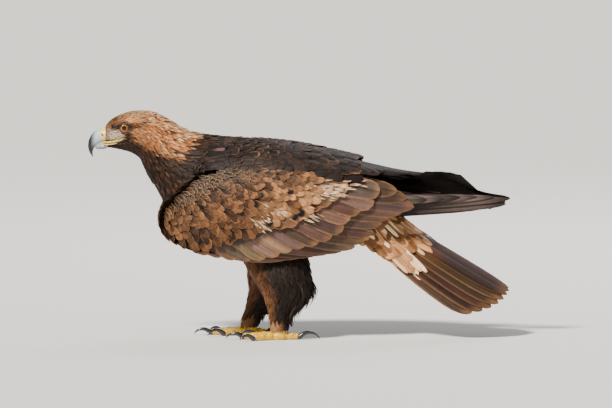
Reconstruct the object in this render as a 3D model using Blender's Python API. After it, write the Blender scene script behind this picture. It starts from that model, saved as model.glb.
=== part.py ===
"""Golden eagle standing with its near wing lowered, a still life-size model.

Lengths are in millimetres: the bill points along -X, the bird's left side is -Y, and up is +Z.
The last step turns them into metres and puts the origin under the middle of the bounding box.
"""
import math
import random

import bmesh
import bpy
import numpy as np
from mathutils import Matrix, Vector

MM = 0.001
GAP = 0.3
# Faces that turn less than this are merged before they are split into triangles, and points
# closer than the weld distance are joined
FLAT_ANGLE = math.radians(0.5)
WELD = 0.0002

# Body: back point, belly point (x, z) and half width of each section, from bill base to rump
BACK_POINTS = [(-341, 369), (-334, 378), (-324, 385), (-308, 392), (-290, 396), (-270, 396),
               (-250, 391), (-229, 380), (-206, 366), (-179, 357), (-152, 353), (-122, 350),
               (-88, 349), (-49, 347), (-10, 342), (26, 331), (60, 315), (86, 293), (105, 271)]
BELLY_POINTS = [(-340, 334), (-332, 334), (-320, 332), (-306, 329), (-293, 325), (-280, 316),
                (-273, 302), (-263, 282), (-251, 265), (-240, 245), (-230, 220), (-214, 192),
                (-178, 166), (-126, 150), (-66, 144), (-18, 147), (21, 154), (47, 166), (68, 184)]
HALF_WIDTHS = [12.5, 17, 23, 28.5, 32.5, 35, 36.5, 39, 45, 55, 66, 74, 80, 82, 80, 73, 62, 50, 38]
HEAD_END = 5.0
NECK_END = 10.0
RUMP_END = len(HALF_WIDTHS) - 1.0

# Feathers: thickness, camber as a share of the width, and width along the length from root to tip
VANE_THICKNESS = 0.8
VANE_CAMBER = 0.02
FLIGHT_SHAPE = ((0, 0.35), (0.45, 1.0), (0.86, 0.86), (1, 0.25))
COVERT_SHAPE = ((0, 0.45), (0.62, 1.0), (1, 0.4))
# Locks: width and height along the length, the height as a share of the way from root to tip
LOCK_SHAPE = ((0, 0.6, 0.0), (0.4, 1.0, 0.66), (1, 0.1, 1.0))
LOCK_RIDGE = 1.8

# Outer surface of the folded wings: height of the back, height of the widest line, half width
WING_X = (-245, -215, -175, -122, -66, -2, 52, 103, 175, 228, 280, 332, 380)
WING_TOP_Z = (329, 344, 354, 350, 349, 342, 331, 319, 300, 292, 287, 282, 276)
WING_WIDEST_Z = (215, 222, 228, 234, 239, 242, 241, 238, 234, 235, 236, 237, 238)
WING_HALF_WIDTH = (66, 90, 105, 112, 113, 110, 103, 90, 69, 55, 43, 33, 26)
WING_UNDER_DEPTH = 175.0
WING_ROUNDNESS = 2.2

WING_CORE_OUTLINE = [(-177, 290), (-214, 258), (-241, 225), (-238, 192), (-201, 168), (-150, 157),
                     (-90, 162), (-35, 192), (20, 232), (40, 269), (22, 297), (-40, 308), (-110, 306)]
# Tiers of wing feathers: lines of roots and tips in the side view, count, width, heights, bends
WING_TIERS = [
    {"roots": [(-130, 186), (-90, 204), (-40, 224)], "count": 4, "widths": (32, 32), "heights": (-25, -21),
     "bends": (4, 8), "shape": FLIGHT_SHAPE,
     "tips": [(334, 230), (370, 236), (380, 240), (368, 246), (349, 250), (310, 252), (225, 247)]},
    {"roots": [(-192, 174), (-149, 205), (-96, 240), (-44, 270), (0, 287)], "count": 7, "widths": (40, 54),
     "heights": (-19.5, -16), "bends": (-12, 4), "shape": FLIGHT_SHAPE,
     "tips": [(-6, 146), (52, 152), (104, 164), (134, 189), (154, 211), (184, 225), (201, 232),
              (192, 246), (172, 263)]},
    {"roots": [(-222, 196), (-184, 210), (-149, 222), (-114, 234), (-79, 248), (-44, 261), (-18, 273),
               (9, 284)], "count": 6, "widths": (36, 60), "heights": (-12, -8), "bends": (-4, 2),
     "shape": COVERT_SHAPE,
     "tips": [(-156, 156), (-124, 148), (-90, 142), (-48, 146), (0, 164), (38, 174), (82, 201),
              (93, 222), (130, 241), (140, 262)]},
    {"roots": [(-226, 226), (-190, 240), (-140, 252), (-90, 264), (-50, 276), (-20, 288)], "count": 4,
     "widths": (40, 64), "heights": (-7.5, -3), "bends": (-3, 0), "shape": COVERT_SHAPE,
     "tips": [(-182, 184), (-146, 178), (-114, 178), (-79, 192), (-44, 202), (-5, 206), (18, 228),
              (52, 243), (84, 268)]},
]
# Each feather's tilt across its width, and its rise over the one below it
WING_SHINGLE = -0.1
WING_STEPS = (1.0, 1.0, 0.4, 0.3)
# The arm's surface sinks behind this line in the side view, where the feather tiers start
COVERT_LINE_Z = 222.0
COVERT_LINE_SLOPE = 0.3
COVERT_ZONE = 85.0
WING_CORE_SIDES = 16
# The right wing lies closer over the back: how far its feather tips rise along the length
RIGHT_RISE_X = (-60, 60, 140, 200, 270, 300, 335)
RIGHT_RISE = (0, 26, 44, 47, 48, 34, 4)
RIGHT_PRIMARY_BOW = 21.0

# Bed of the shoulder feathers: its length along X and its reach down the sides from the back
MANTLE_START = -150.0
MANTLE_END = 100.0
MANTLE_FRONT_REACH = 62.0
MANTLE_REACH = 106.0
MANTLE_RADIUS = 105.0
# Tiers of shoulder feathers: root x, tip x and distances down the side
MANTLE_TIERS = [(-100, 0, (18, 57, 95)), (-32, 75, (18, 59, 100)), (40, 143, (18, 59, 100))]

# Hackles of the neck: rows, locks in a row, and their reach in sections of the body
HACKLE_ROWS = 5
HACKLES_IN_ROW = 10
HACKLE_LAST = 8.7
HACKLE_REACH = 1.75
HACKLE_SEED = 7
STATION_PITCH = 26.0

# Eyes, on the sides of the head
EYE_CENTRE = (-306.5, 20.0, 368.5)
EYE_RADIUS = 10.5

# Lids: ring round the eye; brow, gape and nostril on the left side, mirrored for the right
LID_RADIUS = 8.6
LID_THICKNESS = 1.7
LID_OUT = 27.6
LID_SIDES = 10
BROW_LINE = [(-326, 19.5, 373.5), (-316, 25.5, 377.5), (-303, 29.5, 378.5), (-291, 31.0, 375.0)]
GAPE_LINE = [(-340.6, 12.2, 342.6), (-330, 18.6, 343.6), (-319, 23.8, 345.5), (-308, 27.6, 349.0)]
NOSTRIL = (-345.0, 10.6, 355.5)
NOSTRIL_SLANT = math.radians(38)

# Bill: top point, bottom point (x, z) and half width of each section
CERE_ROWS = [((-341.4, 368.8), (-340.4, 343.4), 12.4), ((-344.5, 368.4), (-343.2, 343.1), 12.0),
             ((-348.5, 367.0), (-347.0, 342.8), 11.0)]
BILL_ROWS = [((-348.9, 366.6), (-347.4, 341.6), 10.6), ((-355.5, 364.0), (-351.8, 339.6), 9.4),
             ((-362.0, 359.0), (-356.2, 336.8), 8.0), ((-367.0, 351.5), (-359.4, 333.6), 6.4),
             ((-370.0, 343.0), (-361.4, 330.0), 5.0), ((-370.6, 333.5), (-362.4, 326.2), 3.4),
             ((-367.6, 324.0), (-362.4, 321.0), 2.0), ((-362.9, 317.0), (-361.4, 317.6), 0.7)]
LOWER_BILL_ROWS = [((-340.5, 341.0), (-340.0, 331.0), 9.8), ((-348.6, 339.4), (-348.0, 330.2), 7.8),
                   ((-355.4, 335.2), (-355.2, 330.6), 5.2)]

# Tail: root, slope below the horizontal, roll towards the left, arch radius and length
TAIL_ROOT = (104.0, 0.0, 233.0)
TAIL_SLOPE = math.radians(31)
TAIL_ROLL = math.radians(27)
TAIL_ARCH_RADIUS = 90.0
TAIL_LENGTH = 303.0
TAIL_FEATHERS = 12
# The outer feathers are shorter by this share, and lie this far apart at root and tip
TAIL_TAPER = 0.13
TAIL_SPACING = (8.8, 14.0)
TAIL_FEATHER_WIDTH = 45.0
# Tail coverts: count, spacing at the tips, end along the tail, and heights at root and tip
TAIL_COVERTS = [(4, 18, 165, (10, 7)), (3, 22, 140, (-12, -8))]

# Legs: height, front x, rear x and half width of each section, the left leg's
LEG_Y = 47.0
THIGH_TOP = (172, -96, 6, 20)
THIGH_ROWS = [(150, -100, 8, 23), (128, -93, 15, 28), (104, -79, 20, 31), (81, -64, 19, 27),
              (62, -57, 6, 20), (46, -53, -12, 15)]
SHANK_ROWS = [(45.7, -52, -14, 14), (30, -52, -20, 12.5), (21, -52, -19, 12.5), (15.8, -51, -21, 11.5)]
# The right leg leans ahead below this height
LEG_LEAN_END = 125.0
# Trouser locks: root height, tip height, first and last turn in degrees from the rear, count, tip lift
TROUSER_TIERS = [(124, 76, -150, 150, 8, 4.5), (96, 50, -130, 130, 7, 4.5), (72, 20, -60, 60, 5, 17)]
TROUSER_RADIUS = 30.0
TROUSER_LOCK_WIDTH = 17.0
TROUSER_SEED = 5

# Feet: ankle places and the way each toe points, in degrees from straight ahead
ANKLES = {"left": (-38.0, -47.0), "right": (-95.0, 47.0)}
TOE_RADIUS = 8.5
TOE_ANGLES = {"inner": 32, "middle": 3, "outer": -30, "hind": 176}
TOE_LENGTHS = {"inner": 46, "middle": 62, "outer": 50, "hind": 36}
CLAW_LENGTHS = {"inner": 38, "middle": 33, "outer": 29, "hind": 42}
# Each claw rises from its toe at the first angle and points down at the second at its tip
CLAW_LIFT = math.radians(48)
CLAW_DROP = math.radians(62)

COLOURS = {"feather": (0.16, 0.09, 0.045), "nape": (0.5, 0.28, 0.12), "horn": (0.06, 0.07, 0.09),
           "skin": (0.85, 0.6, 0.05), "eye": (0.6, 0.25, 0.03), "shank": (0.45, 0.3, 0.18)}


# Smooth curves
def smooth_curve(knots, values):
    """Return the function of the smooth curve that passes through the values at the knots."""
    knots = np.array(knots, float)
    values = np.array(values, float)
    slopes = np.gradient(values, knots, axis=0)

    def value(at):
        at = min(max(at, knots[0]), knots[-1])
        k = min(int(np.searchsorted(knots, at, side="right")) - 1, len(knots) - 2)
        span = knots[k + 1] - knots[k]
        t = (at - knots[k]) / span
        return ((2 * t ** 3 - 3 * t ** 2 + 1) * values[k] + (3 * t ** 2 - 2 * t ** 3) * values[k + 1]
                + (t ** 3 - 2 * t ** 2 + t) * span * slopes[k] + (t ** 3 - t ** 2) * span * slopes[k + 1])
    return value


def path_curve(points):
    """Return the function that runs from 0 to 1 along the points, at an even speed."""
    points = np.array(points, float)
    steps = np.linalg.norm(np.diff(points, axis=0), axis=1)
    knots = np.concatenate([[0], np.cumsum(steps)]) / steps.sum()
    return smooth_curve(knots, points)


STATIONS = range(len(HALF_WIDTHS))
back_at = smooth_curve(STATIONS, BACK_POINTS)
belly_at = smooth_curve(STATIONS, BELLY_POINTS)
half_width_at = smooth_curve(STATIONS, HALF_WIDTHS)
wing_top = smooth_curve(WING_X, WING_TOP_Z)
wing_widest = smooth_curve(WING_X, WING_WIDEST_Z)
wing_half_width = smooth_curve(WING_X, WING_HALF_WIDTH)
right_rise = smooth_curve(RIGHT_RISE_X, RIGHT_RISE)


# Meshes
def new_object(name, vertices, faces):
    """Make one closed mesh object, its faces turned outwards, from points in millimetres."""
    mesh = bpy.data.meshes.new(name)
    mesh.from_pydata([Vector(v) * MM for v in vertices], [], faces)
    solid = bmesh.new()
    solid.from_mesh(mesh)
    bmesh.ops.recalc_face_normals(solid, faces=solid.faces)
    solid.to_mesh(mesh)
    solid.free()
    obj = bpy.data.objects.new(name, mesh)
    bpy.context.scene.collection.objects.link(obj)
    return obj


def loft(name, rings):
    """Join rings of equal count into a closed tube with a fan at each end."""
    count = len(rings[0])
    vertices = [tuple(point) for ring in rings for point in ring]
    faces = []
    for row in range(len(rings) - 1):
        for k in range(count):
            near = row * count + k
            following = row * count + (k + 1) % count
            faces.append((near, following, following + count))
            faces.append((near, following + count, near + count))
    for row, ring in ((0, rings[0]), (len(rings) - 1, rings[-1])):
        middle = len(vertices)
        vertices.append(tuple(np.mean(np.array(ring), axis=0)))
        for k in range(count):
            faces.append((middle, row * count + k, row * count + (k + 1) % count))
    return new_object(name, vertices, faces)


def ring_solid(name, rings):
    """Join rings of equal count into a closed ring-shaped tube."""
    count = len(rings[0])
    vertices = [tuple(point) for ring in rings for point in ring]
    faces = []
    for row in range(len(rings)):
        following = (row + 1) % len(rings)
        for k in range(count):
            faces.append((row * count + k, row * count + (k + 1) % count,
                          following * count + (k + 1) % count, following * count + k))
    return new_object(name, vertices, faces)


def thick_sheet(name, outer, inner):
    """Close the space between two like grids of points, split into triangles alike on both."""
    rows = len(outer)
    columns = len(outer[0])
    vertices = [tuple(p) for grid in (outer, inner) for row in grid for p in row]
    second = rows * columns
    faces = []
    for i in range(rows - 1):
        for j in range(columns - 1):
            a = i * columns + j
            corners = (a, a + 1, a + columns + 1, a + columns)
            for first in (0, second):
                p, q, r, s = (c + first for c in corners)
                faces.append((p, q, r))
                faces.append((p, r, s))
    rim = [i * columns for i in range(rows)]
    rim += [(rows - 1) * columns + j for j in range(1, columns)]
    rim += [i * columns + columns - 1 for i in range(rows - 2, -1, -1)]
    rim += list(range(columns - 2, 0, -1))
    for k, a in enumerate(rim):
        b = rim[(k + 1) % len(rim)]
        faces.append((a, b, b + second))
        faces.append((a, b + second, a + second))
    return new_object(name, vertices, faces)


def vane(place, root, tip, width, heights, tilt=0.0, bend=0.0, shape=FLIGHT_SHAPE, columns=(-1, 0, 1),
         emerge=1.0, grow=0.0):
    """Build one thin feather or lock between two points of the surface that place describes.

    heights are those of its middle line over that surface at root and tip, tilt lifts its left
    edge, bend bows it to the left, a greater emerge brings it up sooner behind its root, and grow
    thickens and widens it all round.
    """
    root = Vector(root)
    run = Vector(tip) - root
    root -= run.normalized() * grow
    run += run.normalized() * 2 * grow
    across = Vector((-run.y, run.x)).normalized()
    outer = []
    inner = []
    for t, spread in shape:
        middle = root + run * t + across * bend * math.sin(math.pi * t)
        height = heights[0] + (heights[1] - heights[0]) * (1 - (1 - t) ** emerge)
        half = VANE_THICKNESS * (1 - 0.35 * t) / 2 + grow
        upper_row = []
        lower_row = []
        for column in columns:
            offset = column * (spread * width / 2 + grow)
            at = middle + across * offset
            rise = height + tilt * offset + VANE_CAMBER * (1 - abs(column)) * width
            upper_row.append(place(at.x, at.y, rise + half))
            lower_row.append(place(at.x, at.y, rise - half))
        outer.append(upper_row)
        inner.append(lower_row)
    return thick_sheet("vane", outer, inner)


def lock(place, root, tip, width, heights, bend=0.0):
    """Build one flat tapered lock, three-sided with a low ridge, over the surface of place."""
    root = Vector(root)
    run = Vector(tip) - root
    across = Vector((-run.y, run.x)).normalized()
    rings = []
    for t, spread, rise in LOCK_SHAPE:
        middle = root + run * t + across * bend * math.sin(math.pi * t / 2)
        edge = across * (spread * width / 2)
        height = heights[0] + (heights[1] - heights[0]) * rise
        ridge = height + LOCK_RIDGE * min(1.0, 0.3 + spread)
        rings.append([place(*(middle - edge), height), place(*middle, ridge),
                      place(*(middle + edge), height)])
    return loft("lock", rings)


def ellipsoid(name, centre, radii, turn=0.0, segments=16, rings=10):
    """Make a ball of three radii, turned about Y."""
    solid = bmesh.new()
    bmesh.ops.create_uvsphere(solid, u_segments=segments, v_segments=rings, radius=1)
    vertices = []
    for vertex in solid.verts:
        point = Vector([c * r for c, r in zip(vertex.co, radii)])
        point.rotate(Matrix.Rotation(turn, 3, "Y"))
        vertices.append(tuple(point + Vector(centre)))
    faces = [tuple(v.index for v in face.verts) for face in solid.faces]
    solid.free()
    return new_object(name, vertices, faces)


def tube(name, points, radii, sides=10, flat=1.0):
    """Sweep a round section along the points; flat squeezes it upwards."""
    points = [Vector(p) for p in points]
    rings = []
    for k, point in enumerate(points):
        ahead = (points[min(k + 1, len(points) - 1)] - points[max(k - 1, 0)]).normalized()
        across = ahead.cross(Vector((0, 0, 1))).normalized()
        up = across.cross(ahead)
        ring = []
        for j in range(sides):
            turn = math.tau * (j + 0.5) / sides
            ring.append(point + (across * math.cos(turn) + up * math.sin(turn) * flat) * radii[k])
        rings.append(ring)
    return loft(name, rings)


def boolean(base, others, operation, solver="EXACT"):
    """Apply one Boolean on a collection of the other objects, which are then removed."""
    group = bpy.data.collections.new(base.name + "_pieces")
    bpy.context.scene.collection.children.link(group)
    for other in others:
        bpy.context.scene.collection.objects.unlink(other)
        group.objects.link(other)
    modifier = base.modifiers.new("boolean", "BOOLEAN")
    modifier.operation = operation
    modifier.operand_type = "COLLECTION"
    modifier.collection = group
    modifier.solver = solver
    depsgraph = bpy.context.evaluated_depsgraph_get()
    mesh = bpy.data.meshes.new_from_object(base.evaluated_get(depsgraph))
    base.modifiers.clear()
    base.data = mesh
    for other in others:
        bpy.data.objects.remove(other)
    bpy.data.collections.remove(group)
    keep_largest(base)
    return base


def keep_largest(obj):
    """Drop every closed surface of the mesh but the one with the largest area."""
    solid = bmesh.new()
    solid.from_mesh(obj.data)
    solid.faces.ensure_lookup_table()
    seen = set()
    groups = []
    for start in solid.faces:
        if start.index in seen:
            continue
        seen.add(start.index)
        group = [start]
        for face in group:
            for edge in face.edges:
                for linked in edge.link_faces:
                    if linked.index not in seen:
                        seen.add(linked.index)
                        group.append(linked)
        groups.append(group)
    groups.sort(key=lambda group: sum(face.calc_area() for face in group))
    lesser = [face for group in groups[:-1] for face in group]
    bmesh.ops.delete(solid, geom=lesser, context="FACES")
    bmesh.ops.remove_doubles(solid, verts=solid.verts[:], dist=WELD * MM)
    bmesh.ops.dissolve_limit(solid, angle_limit=FLAT_ANGLE, verts=solid.verts[:], edges=solid.edges[:])
    bmesh.ops.triangulate(solid, faces=solid.faces[:])
    solid.to_mesh(obj.data)
    solid.free()


def trim_below(obj, height):
    """Cut a mesh flat at a height and close it there."""
    solid = bmesh.new()
    solid.from_mesh(obj.data)
    geometry = solid.verts[:] + solid.edges[:] + solid.faces[:]
    bmesh.ops.bisect_plane(solid, geom=geometry, plane_co=(0, 0, height * MM), plane_no=(0, 0, -1),
                           clear_outer=True)
    open_edges = [edge for edge in solid.edges if edge.is_boundary]
    bmesh.ops.holes_fill(solid, edges=open_edges)
    bmesh.ops.triangulate(solid, faces=solid.faces[:])
    bmesh.ops.recalc_face_normals(solid, faces=solid.faces)
    solid.to_mesh(obj.data)
    solid.free()


# Body
def body_ring(station, shift=0.0, grow=0.0, sides=24):
    """Return one section of the body, moved along its axis by shift and widened by grow."""
    back = Vector((back_at(station)[0], 0, back_at(station)[1]))
    belly = Vector((belly_at(station)[0], 0, belly_at(station)[1]))
    up = (back - belly).normalized()
    ahead = Vector((0, 1, 0)).cross(up)
    centre = (back + belly) / 2 + ahead * shift
    half_height = (back - belly).length / 2 + grow
    half_width = half_width_at(station) + grow
    ring = []
    for k in range(sides):
        turn = math.tau * k / sides
        ring.append(centre + up * half_height * math.cos(turn)
                    + Vector((0, half_width * math.sin(turn), 0)))
    return ring


def body_part(name, start, end, step, grow=0.0, open_start=0.0, sides=20):
    """Loft the body between two stations; open_start moves the first face back by a gap."""
    count = max(2, round((end - start) / step) + 1)
    rings = [body_ring(s, 0.0, grow, sides) for s in np.linspace(start, end, count)]
    rings[0] = body_ring(start, open_start, grow, sides)
    return loft(name, rings)


def body_point(station, turn, height):
    """Place a point on the body's skin: turn runs round it in radians from the back."""
    back = Vector((back_at(station)[0], 0, back_at(station)[1]))
    belly = Vector((belly_at(station)[0], 0, belly_at(station)[1]))
    up = (back - belly).normalized()
    return ((back + belly) / 2 + up * ((back - belly).length / 2 + height) * math.cos(turn)
            + Vector((0, (half_width_at(station) + height) * math.sin(turn), 0)))


def mantle_point(x, reach, height, side=1):
    """Place a point over the back, reach millimetres down the side from the middle line."""
    def surface(x, turn):
        top = wing_top(x)
        middle = wing_widest(x)
        power = 2 / WING_ROUNDNESS
        across = math.copysign(abs(math.sin(turn)) ** power, turn)
        return Vector((x, wing_half_width(x) * across, middle + (top - middle) * math.cos(turn) ** power))

    turn = max(-1.4, min(1.4, reach / MANTLE_RADIUS))
    along = surface(x + 1, turn) - surface(x - 1, turn)
    down = surface(x, turn + 0.01) - surface(x, turn - 0.01)
    point = surface(x, turn) + along.cross(down).normalized() * height
    return Vector((point.x, side * point.y, point.z))


def mantle_saddle(grow=0.0):
    """Build the thick bed of the shoulder feathers, which spans the back between the wings."""
    outer = []
    inner = []
    for t in np.linspace(0, 1, 6):
        x = MANTLE_START + (MANTLE_END - MANTLE_START) * t + (t - 0.5) * 2 * grow
        limit = MANTLE_FRONT_REACH + (MANTLE_REACH - MANTLE_FRONT_REACH) * min(1, t * 2.5) + grow
        depth = 6 - 2 * min(1, t * 4)
        row = np.linspace(-limit, limit, 9)
        outer.append([mantle_point(x, reach, grow - depth) for reach in row])
        inner.append([mantle_point(x, reach, -grow - 30 + 16 * t) for reach in row])
    return thick_sheet("saddle", outer, inner)


def mantle_vanes(side, grow=0.0):
    """Build the tiers of shoulder feathers of one side."""
    vanes = []
    for start, end, reaches in MANTLE_TIERS:
        for reach in reaches:
            vanes.append(vane(lambda x, r, height: mantle_point(x, r, height, side), (start, reach),
                              (end, reach * 1.02), 50, (-8, 5), 0.05, 2, COVERT_SHAPE, emerge=1.6, grow=grow))
    return vanes


def make_torso():
    """Fuse the trunk, the bed of the shoulder feathers and their tiers on both sides."""
    torso = body_part("torso", NECK_END, RUMP_END, 1.0, 0.0, GAP)
    pieces = [mantle_saddle()] + mantle_vanes(-1) + mantle_vanes(1)
    boolean(torso, pieces, "UNION", "MANIFOLD")


def make_neck():
    """Fuse the neck and its tapered hackles, row over row towards the back."""
    neck = body_part("neck", HEAD_END, NECK_END, 1.0, -3.0, GAP, 16)
    locks = []
    draw = random.Random(HACKLE_SEED)
    for row in range(HACKLE_ROWS):
        start = HEAD_END + 0.25 + (HACKLE_LAST - HEAD_END - 0.25) * row / (HACKLE_ROWS - 1)
        girth = half_width_at(start) * math.tau * 1.1
        for k in range(HACKLES_IN_ROW):
            turn = math.tau * (k + 0.5 * (row % 2) + draw.uniform(-0.12, 0.12)) / HACKLES_IN_ROW
            reach = HACKLE_REACH * draw.uniform(0.9, 1.1)

            def place(station, around, height, turn=turn, radius=girth / math.tau):
                return body_point(station / STATION_PITCH, turn + around / radius, height)

            locks.append(lock(place, (start * STATION_PITCH, 0), ((start + reach) * STATION_PITCH, 0),
                              girth / HACKLES_IN_ROW * 0.96, (-5, 5), draw.uniform(-3, 3)))
    boolean(neck, locks, "UNION", "MANIFOLD")
    shoulder = body_part("clear", NECK_END, NECK_END + 2, 1.0, GAP)
    boolean(neck, [shoulder], "DIFFERENCE", "MANIFOLD")


def make_head():
    """Fuse brows, lids and gape to the head, then cut the eye sockets and the line of the mouth."""
    head = body_part("head", 0.0, HEAD_END, 0.5)
    added = []
    cut = []
    for side in (-1, 1):
        eye = (EYE_CENTRE[0], side * EYE_CENTRE[1], EYE_CENTRE[2])
        brow = [(x, side * y, z) for x, y, z in BROW_LINE]
        added.append(tube("brow", brow, (1.5, 3.4, 3.8, 1.6), 6, 0.8))
        lids = []
        for k in range(LID_SIDES):
            turn = math.tau * k / LID_SIDES
            lids.append([(eye[0] + (LID_RADIUS + LID_THICKNESS * math.cos(roll)) * math.cos(turn),
                          side * (LID_OUT + LID_THICKNESS * math.sin(roll)),
                          eye[2] + (LID_RADIUS + LID_THICKNESS * math.cos(roll)) * 0.88 * math.sin(turn))
                         for roll in np.linspace(0, math.tau, 5, endpoint=False)])
        added.append(ring_solid("lids", lids))
        added.append(tube("gape", [(x, side * y, z) for x, y, z in GAPE_LINE], (2.4, 2.4, 2.1, 1.2), 5))
        mouth = [(x, side * (y + 0.8), z - 3.0) for x, y, z in GAPE_LINE]
        cut.append(ellipsoid("socket", eye, [EYE_RADIUS + GAP] * 3, 0.0, 12, 7))
        cut.append(tube("mouth", mouth, (0.9, 0.9, 0.8, 0.4), 4))
    boolean(head, added, "UNION")
    boolean(head, cut, "DIFFERENCE")


def make_eyes():
    for name, side in (("eye_left", -1), ("eye_right", 1)):
        ellipsoid(name, (EYE_CENTRE[0], side * EYE_CENTRE[1], EYE_CENTRE[2]), [EYE_RADIUS] * 3, 0.0, 12, 7)


def bill_part(name, rows, sides=12):
    """Loft a piece of the bill through rows of its top and bottom points and its half width."""
    rings = []
    for top, bottom, half in rows:
        ring = []
        for k in range(sides):
            turn = math.tau * k / sides
            share = (1 + math.cos(turn)) / 2
            x = bottom[0] + (top[0] - bottom[0]) * share
            z = bottom[1] + (top[1] - bottom[1]) * share
            ring.append((x, half * math.sin(turn) * (1 - 0.2 * math.cos(turn)), z))
        rings.append(ring)
    return loft(name, rings)


def make_bill():
    """Build the cere with its nostrils, the hooked upper bill and the lower bill."""
    cere = bill_part("cere", CERE_ROWS)
    nostrils = [ellipsoid("nostril", (NOSTRIL[0], side * NOSTRIL[1], NOSTRIL[2]), (3.0, 2.2, 1.1),
                          NOSTRIL_SLANT, 8, 5) for side in (-1, 1)]
    boolean(cere, nostrils, "DIFFERENCE")
    bill_part("bill_upper", BILL_ROWS)
    bill_part("bill_lower", LOWER_BILL_ROWS)


# Wings
def wing_point(x, z, height, side):
    """Place a point of the side view on the folded wing's outer surface, raised by height."""
    def half_width(x, z):
        rise = z - wing_widest(x)
        reach = rise / (wing_top(x) - wing_widest(x)) if rise > 0 else -rise / WING_UNDER_DEPTH
        return wing_half_width(x) * max(0.0, 1 - min(reach, 0.97) ** WING_ROUNDNESS) ** (1 / WING_ROUNDNESS)

    normal = Vector((half_width(x - 1, z) - half_width(x + 1, z), 2,
                     half_width(x, z - 1) - half_width(x, z + 1))).normalized()
    point = Vector((x, half_width(x, z), z)) + normal * height
    return Vector((point.x, side * point.y, point.z))


def wing_core(side):
    """Build the arm of the wing, which thins in steps below the tiers of feathers."""
    outline = path_curve(WING_CORE_OUTLINE + WING_CORE_OUTLINE[:1])
    centre = np.mean(np.array(WING_CORE_OUTLINE, float), axis=0)
    rings = []
    for reach, sunk, outer in ((0.45, 0.0, True), (0.85, 0.8, True), (1.0, 5.0, True),
                               (0.96, -20, False), (0.7, -29, False)):
        ring = []
        for k in range(WING_CORE_SIDES):
            x, z = centre + (outline(k / WING_CORE_SIDES) - centre) * reach
            behind = max((COVERT_LINE_Z + (x + 226) * COVERT_LINE_SLOPE - z), x + 15) / COVERT_ZONE
            behind = min(max(behind, 0.0), 1.0)
            height = -3.0 - 15.0 * behind - sunk if outer else sunk
            ring.append(wing_point(x, z, height, side))
        rings.append(ring)
    return loft("wing", rings)


def raised(x, z):
    """Lift a feather tip of the right wing, less and less towards the line of the back."""
    share = max(0.0, (z - wing_widest(x)) / (wing_top(x) - wing_widest(x)))
    return (x, z + right_rise(x) * (1 - share))


def make_wing(name, side):
    """Fuse the tiers of feathers to the arm and cut the wing clear of the body."""
    core = wing_core(side)
    vanes = []
    for tier, step in zip(WING_TIERS, WING_STEPS):
        root_line = path_curve(tier["roots"])
        tip_line = path_curve(tier["tips"])
        for k in range(tier["count"]):
            t = k / (tier["count"] - 1)
            tip = raised(*tip_line(t)) if side > 0 else tip_line(t)
            bend = tier["bends"][0] + (tier["bends"][1] - tier["bends"][0]) * t
            if side > 0 and tier is WING_TIERS[0]:
                bend += RIGHT_PRIMARY_BOW
            width = tier["widths"][0] + (tier["widths"][1] - tier["widths"][0]) * t
            heights = [height + k * step for height in tier["heights"]]
            vanes.append(vane(lambda x, z, height: wing_point(x, z, height, side), root_line(t), tip,
                              width, heights, WING_SHINGLE, bend, tier["shape"], emerge=1.5))
    boolean(core, vanes, "UNION", "MANIFOLD")
    cutters = [body_part("clear", 6.0, RUMP_END, 1.0, GAP), mantle_saddle(GAP)] + mantle_vanes(side, 2 * GAP)
    boolean(core, cutters, "DIFFERENCE", "MANIFOLD")
    core.name = name


# Tail
def tail_point(along, across, height):
    """Place a point of the flat tail on its arched, rolled and sloping surface."""
    bow = across / TAIL_ARCH_RADIUS
    sideways = (TAIL_ARCH_RADIUS + height) * math.sin(bow)
    up = (TAIL_ARCH_RADIUS + height) * math.cos(bow) - TAIL_ARCH_RADIUS
    rolled = Vector((along, sideways * math.cos(TAIL_ROLL) - up * math.sin(TAIL_ROLL),
                     sideways * math.sin(TAIL_ROLL) + up * math.cos(TAIL_ROLL)))
    rolled.rotate(Matrix.Rotation(TAIL_SLOPE, 3, "Y"))
    return rolled + Vector(TAIL_ROOT)


def make_tail():
    """Fuse the tail's root, its twelve feathers and the coverts above and below them."""
    rings = []
    for along, half_width, half_height in ((2, 33, 38), (25, 33, 27), (60, 33, 17), (105, 36, 6)):
        ring = []
        for k in range(16):
            turn = math.tau * k / 16
            ring.append(tail_point(along, half_width * math.sin(turn), half_height * math.cos(turn)))
        rings.append(ring)
    tail = loft("tail", rings)
    vanes = []
    half_count = (TAIL_FEATHERS - 1) / 2
    for k in range(TAIL_FEATHERS):
        place = k - half_count
        side = math.copysign(1, place)
        length = TAIL_LENGTH * (1 - TAIL_TAPER * (abs(place) / half_count) ** 2.2)
        level = 0.0 if side < 0 else -2.0
        vanes.append(vane(tail_point, (40, place * TAIL_SPACING[0]), (length, place * TAIL_SPACING[1]),
                          TAIL_FEATHER_WIDTH + 0.3 * k, (level, level), 0.12 * side, 0, FLIGHT_SHAPE))
    for count, spread, end, levels in TAIL_COVERTS:
        for k in range(count):
            place = k - (count - 1) / 2
            heights = [level + 0.4 * k for level in levels]
            vanes.append(vane(tail_point, (30, place * 13), (end - 6 * abs(place), place * spread),
                              TAIL_FEATHER_WIDTH - 0.3 * k, heights, 0.08 * math.copysign(1, place), 0,
                              COVERT_SHAPE))
    boolean(tail, vanes, "UNION", "MANIFOLD")
    boolean(tail, [body_part("clear", 12.0, RUMP_END, 1.0, GAP)], "DIFFERENCE", "MANIFOLD")


# Legs
def leg_slip(side, height):
    """Return how far ahead of the left leg this leg stands at a height above the floor."""
    ahead = 0.0 if side < 0 else ANKLES["right"][0] - ANKLES["left"][0]
    return ahead * (1 - min(height / LEG_LEAN_END, 1.0) ** 1.3)


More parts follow.
